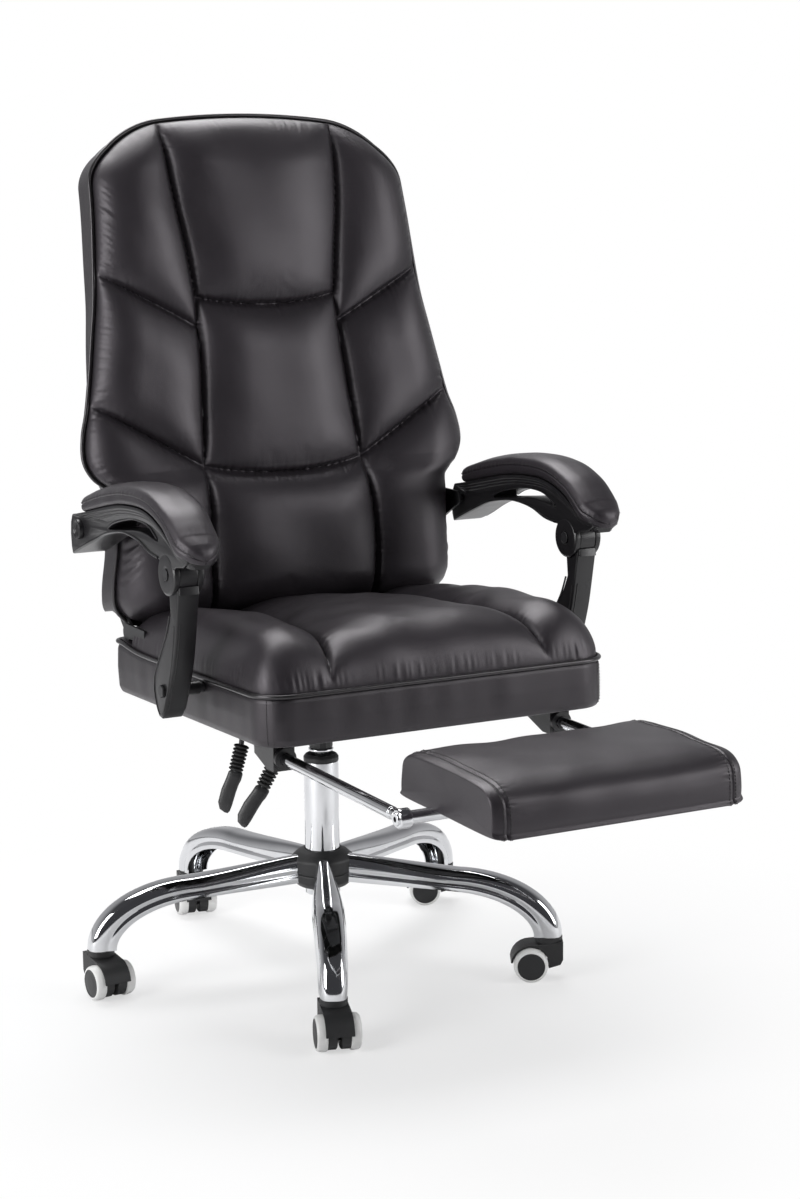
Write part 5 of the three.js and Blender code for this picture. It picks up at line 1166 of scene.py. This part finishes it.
forward = rim_round * (crown - 1 - 30 * (1 - puff) - 3.5 * np.exp(-(nearest / 4.2) ** 2))
cushion = np.stack([x, back_plane(z) - sewn_in - forward, z], -1)
out = -np.sign(outward(cushion)[..., 1].mean())
cushion = cushion + settled(cushion, (nearest < 6) | (forward < 5), out, 8.0)
edge_gap = np.minimum(np.minimum(edge - np.abs(x), z - cushion_low), cushion_high - z)
turn = np.arctan2(z - 860, x) * 330
patchy = 0.5 + 0.5 * ripple(turn, 150.0, 50)
near_rim = np.exp(-((edge_gap - 7) / 9.0) ** 2) * (edge_gap > 0.2)
rim_fold = (0.8 - 0.55 * (z > 1120)) * patchy * ripple(turn, 13.0, 51) * near_rim
seam_fold = (0.7 * (0.6 + 0.4 * ripple(z, 90.0, 52)) * ripple(z + 60 * np.sign(x), 11.0, 53)
             * np.exp(-np.abs(away) / 8.0))
head_fold = 0.6 * ripple(x, 11.0, 55) * np.exp(-np.abs(head_line) / 8.0)
low_fold = 0.6 * ripple(x, 11.0, 57) * np.exp(-np.abs(low_line) / 8.0)
loose = 0.9 * clouds(x, z, 150.0, 61) * puff * rim_round
folds = rim_fold + (seam_fold + head_fold + low_fold) * np.clip(edge_gap / 20, 0, 1) + loose
cushion = cushion + out * outward(cushion) * folds[..., None]
for edge_of in grid_edges:
    cushion[edge_of + (1,)] = back_plane(z[edge_of]) - sewn_in
cushion = arched(cushion)
rear = np.stack([cushion[..., 0], back_plane(cushion[..., 2]) - 0.3, cushion[..., 2]], -1)
back_pad = piece("back_panels", boxed(cushion, rear), [hide], "back", ["back_cushion"], 75.0)

# Studio: a white floor that keeps the chair's soft shadow and fades to the white backdrop, a tall soft
# lamp on each side, a wide one overhead, and a dim side where the camera stands.
ground = bpy.data.meshes.new("studio_floor")
ground.from_pydata([(-30, -30, 0), (30, -30, 0), (30, 30, 0), (-30, 30, 0)], [], [(0, 1, 2, 3)])
floor_look, floor_shader, wire, place = finish("studio_white", Base_Color=(0.84, 0.84, 0.845, 1),
                                               Roughness=0.7)
apart = wire.node("VectorMath", {"operation": "SUBTRACT"}, {0: place, 1: (0.0, 0.1, 0.0)})
distance = wire.node("VectorMath", {"operation": "LENGTH"}, {0: apart}, output=1)
fade = wire.node("MapRange", {"interpolation_type": "SMOOTHSTEP"},
                 {"Value": distance, "From Min": 0.3, "From Max": 0.95, "To Min": 0.58, "To Max": 1.0})
camera_ray = wire.node("LightPath", {}, {})
glow = wire.node("Emission", {}, {"Color": (1, 1, 1, 1), "Strength": 1.0})
shaded = Wire(wire.tree, floor_shader.outputs[0])
mixed = wire.node("MixShader", {}, {0: fade * camera_ray, 1: shaded, 2: glow})
mixed.feeds(wire.tree.nodes["Material Output"], "Surface")
ground.materials.append(floor_look)
placed("studio_floor", ground)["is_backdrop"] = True

world = bpy.data.worlds.new("studio")
bpy.context.scene.world = world
world.use_nodes = True
sky = Wire(world.node_tree)
rays = sky.node("LightPath", {}, {})
through, glossy = (Wire(sky.tree, rays.socket.node.outputs[f"Is {kind} Ray"])
                   for kind in ("Transmission", "Glossy"))
seen = sky.maths("MAXIMUM", rays, through)
way = sky.node("TexCoord", {}, {}, output=0)
towards = sky.node("VectorMath", {"operation": "DOT_PRODUCT"}, {0: way, 1: (-0.44, -0.86, 0.25)}, output=1)
upper = sky.node("SeparateXYZ", {}, {0: way}, output=2)
dome = sky.node("ValToRGB", {"stops": [(0.0, (0.55, 0.55, 0.56, 1)), (1.0, (0.05, 0.05, 0.055, 1)),
                                       (0.35, (0.3, 0.3, 0.31, 1)), (0.62, (0.06, 0.06, 0.065, 1))]},
                {"Fac": sky.maths("MAXIMUM", towards, upper * 0.8)})
soft = sky.blend(glossy, (0.12, 0.12, 0.125, 1), dome)
sky.blend(seen, soft, (1, 1, 1, 1)).feeds(world.node_tree.nodes["Background"], "Color")

lamp_aim = Vector((0, 0, 0.7))
for name, place, size, power in (("left_lamp", (-3.0, -0.3, 1.6), (1.6, 2.4), 82.0),
                                 ("right_lamp", (2.3, -2.0, 1.6), (1.6, 2.4), 60.0),
                                 ("top_lamp", (0.1, 1.5, 3.2), (2.4, 2.0), 106.0)):
    lamp = bpy.data.lights.new(name, "AREA")
    lamp.shape, lamp.size, lamp.size_y, lamp.energy = "RECTANGLE", *size, power
    holder = placed(name, lamp)
    holder.location = place
    holder.rotation_euler = (lamp_aim - holder.location).to_track_quat("-Z", "Y").to_euler()

bpy.context.scene.view_settings.view_transform = "Standard"
low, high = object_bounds()
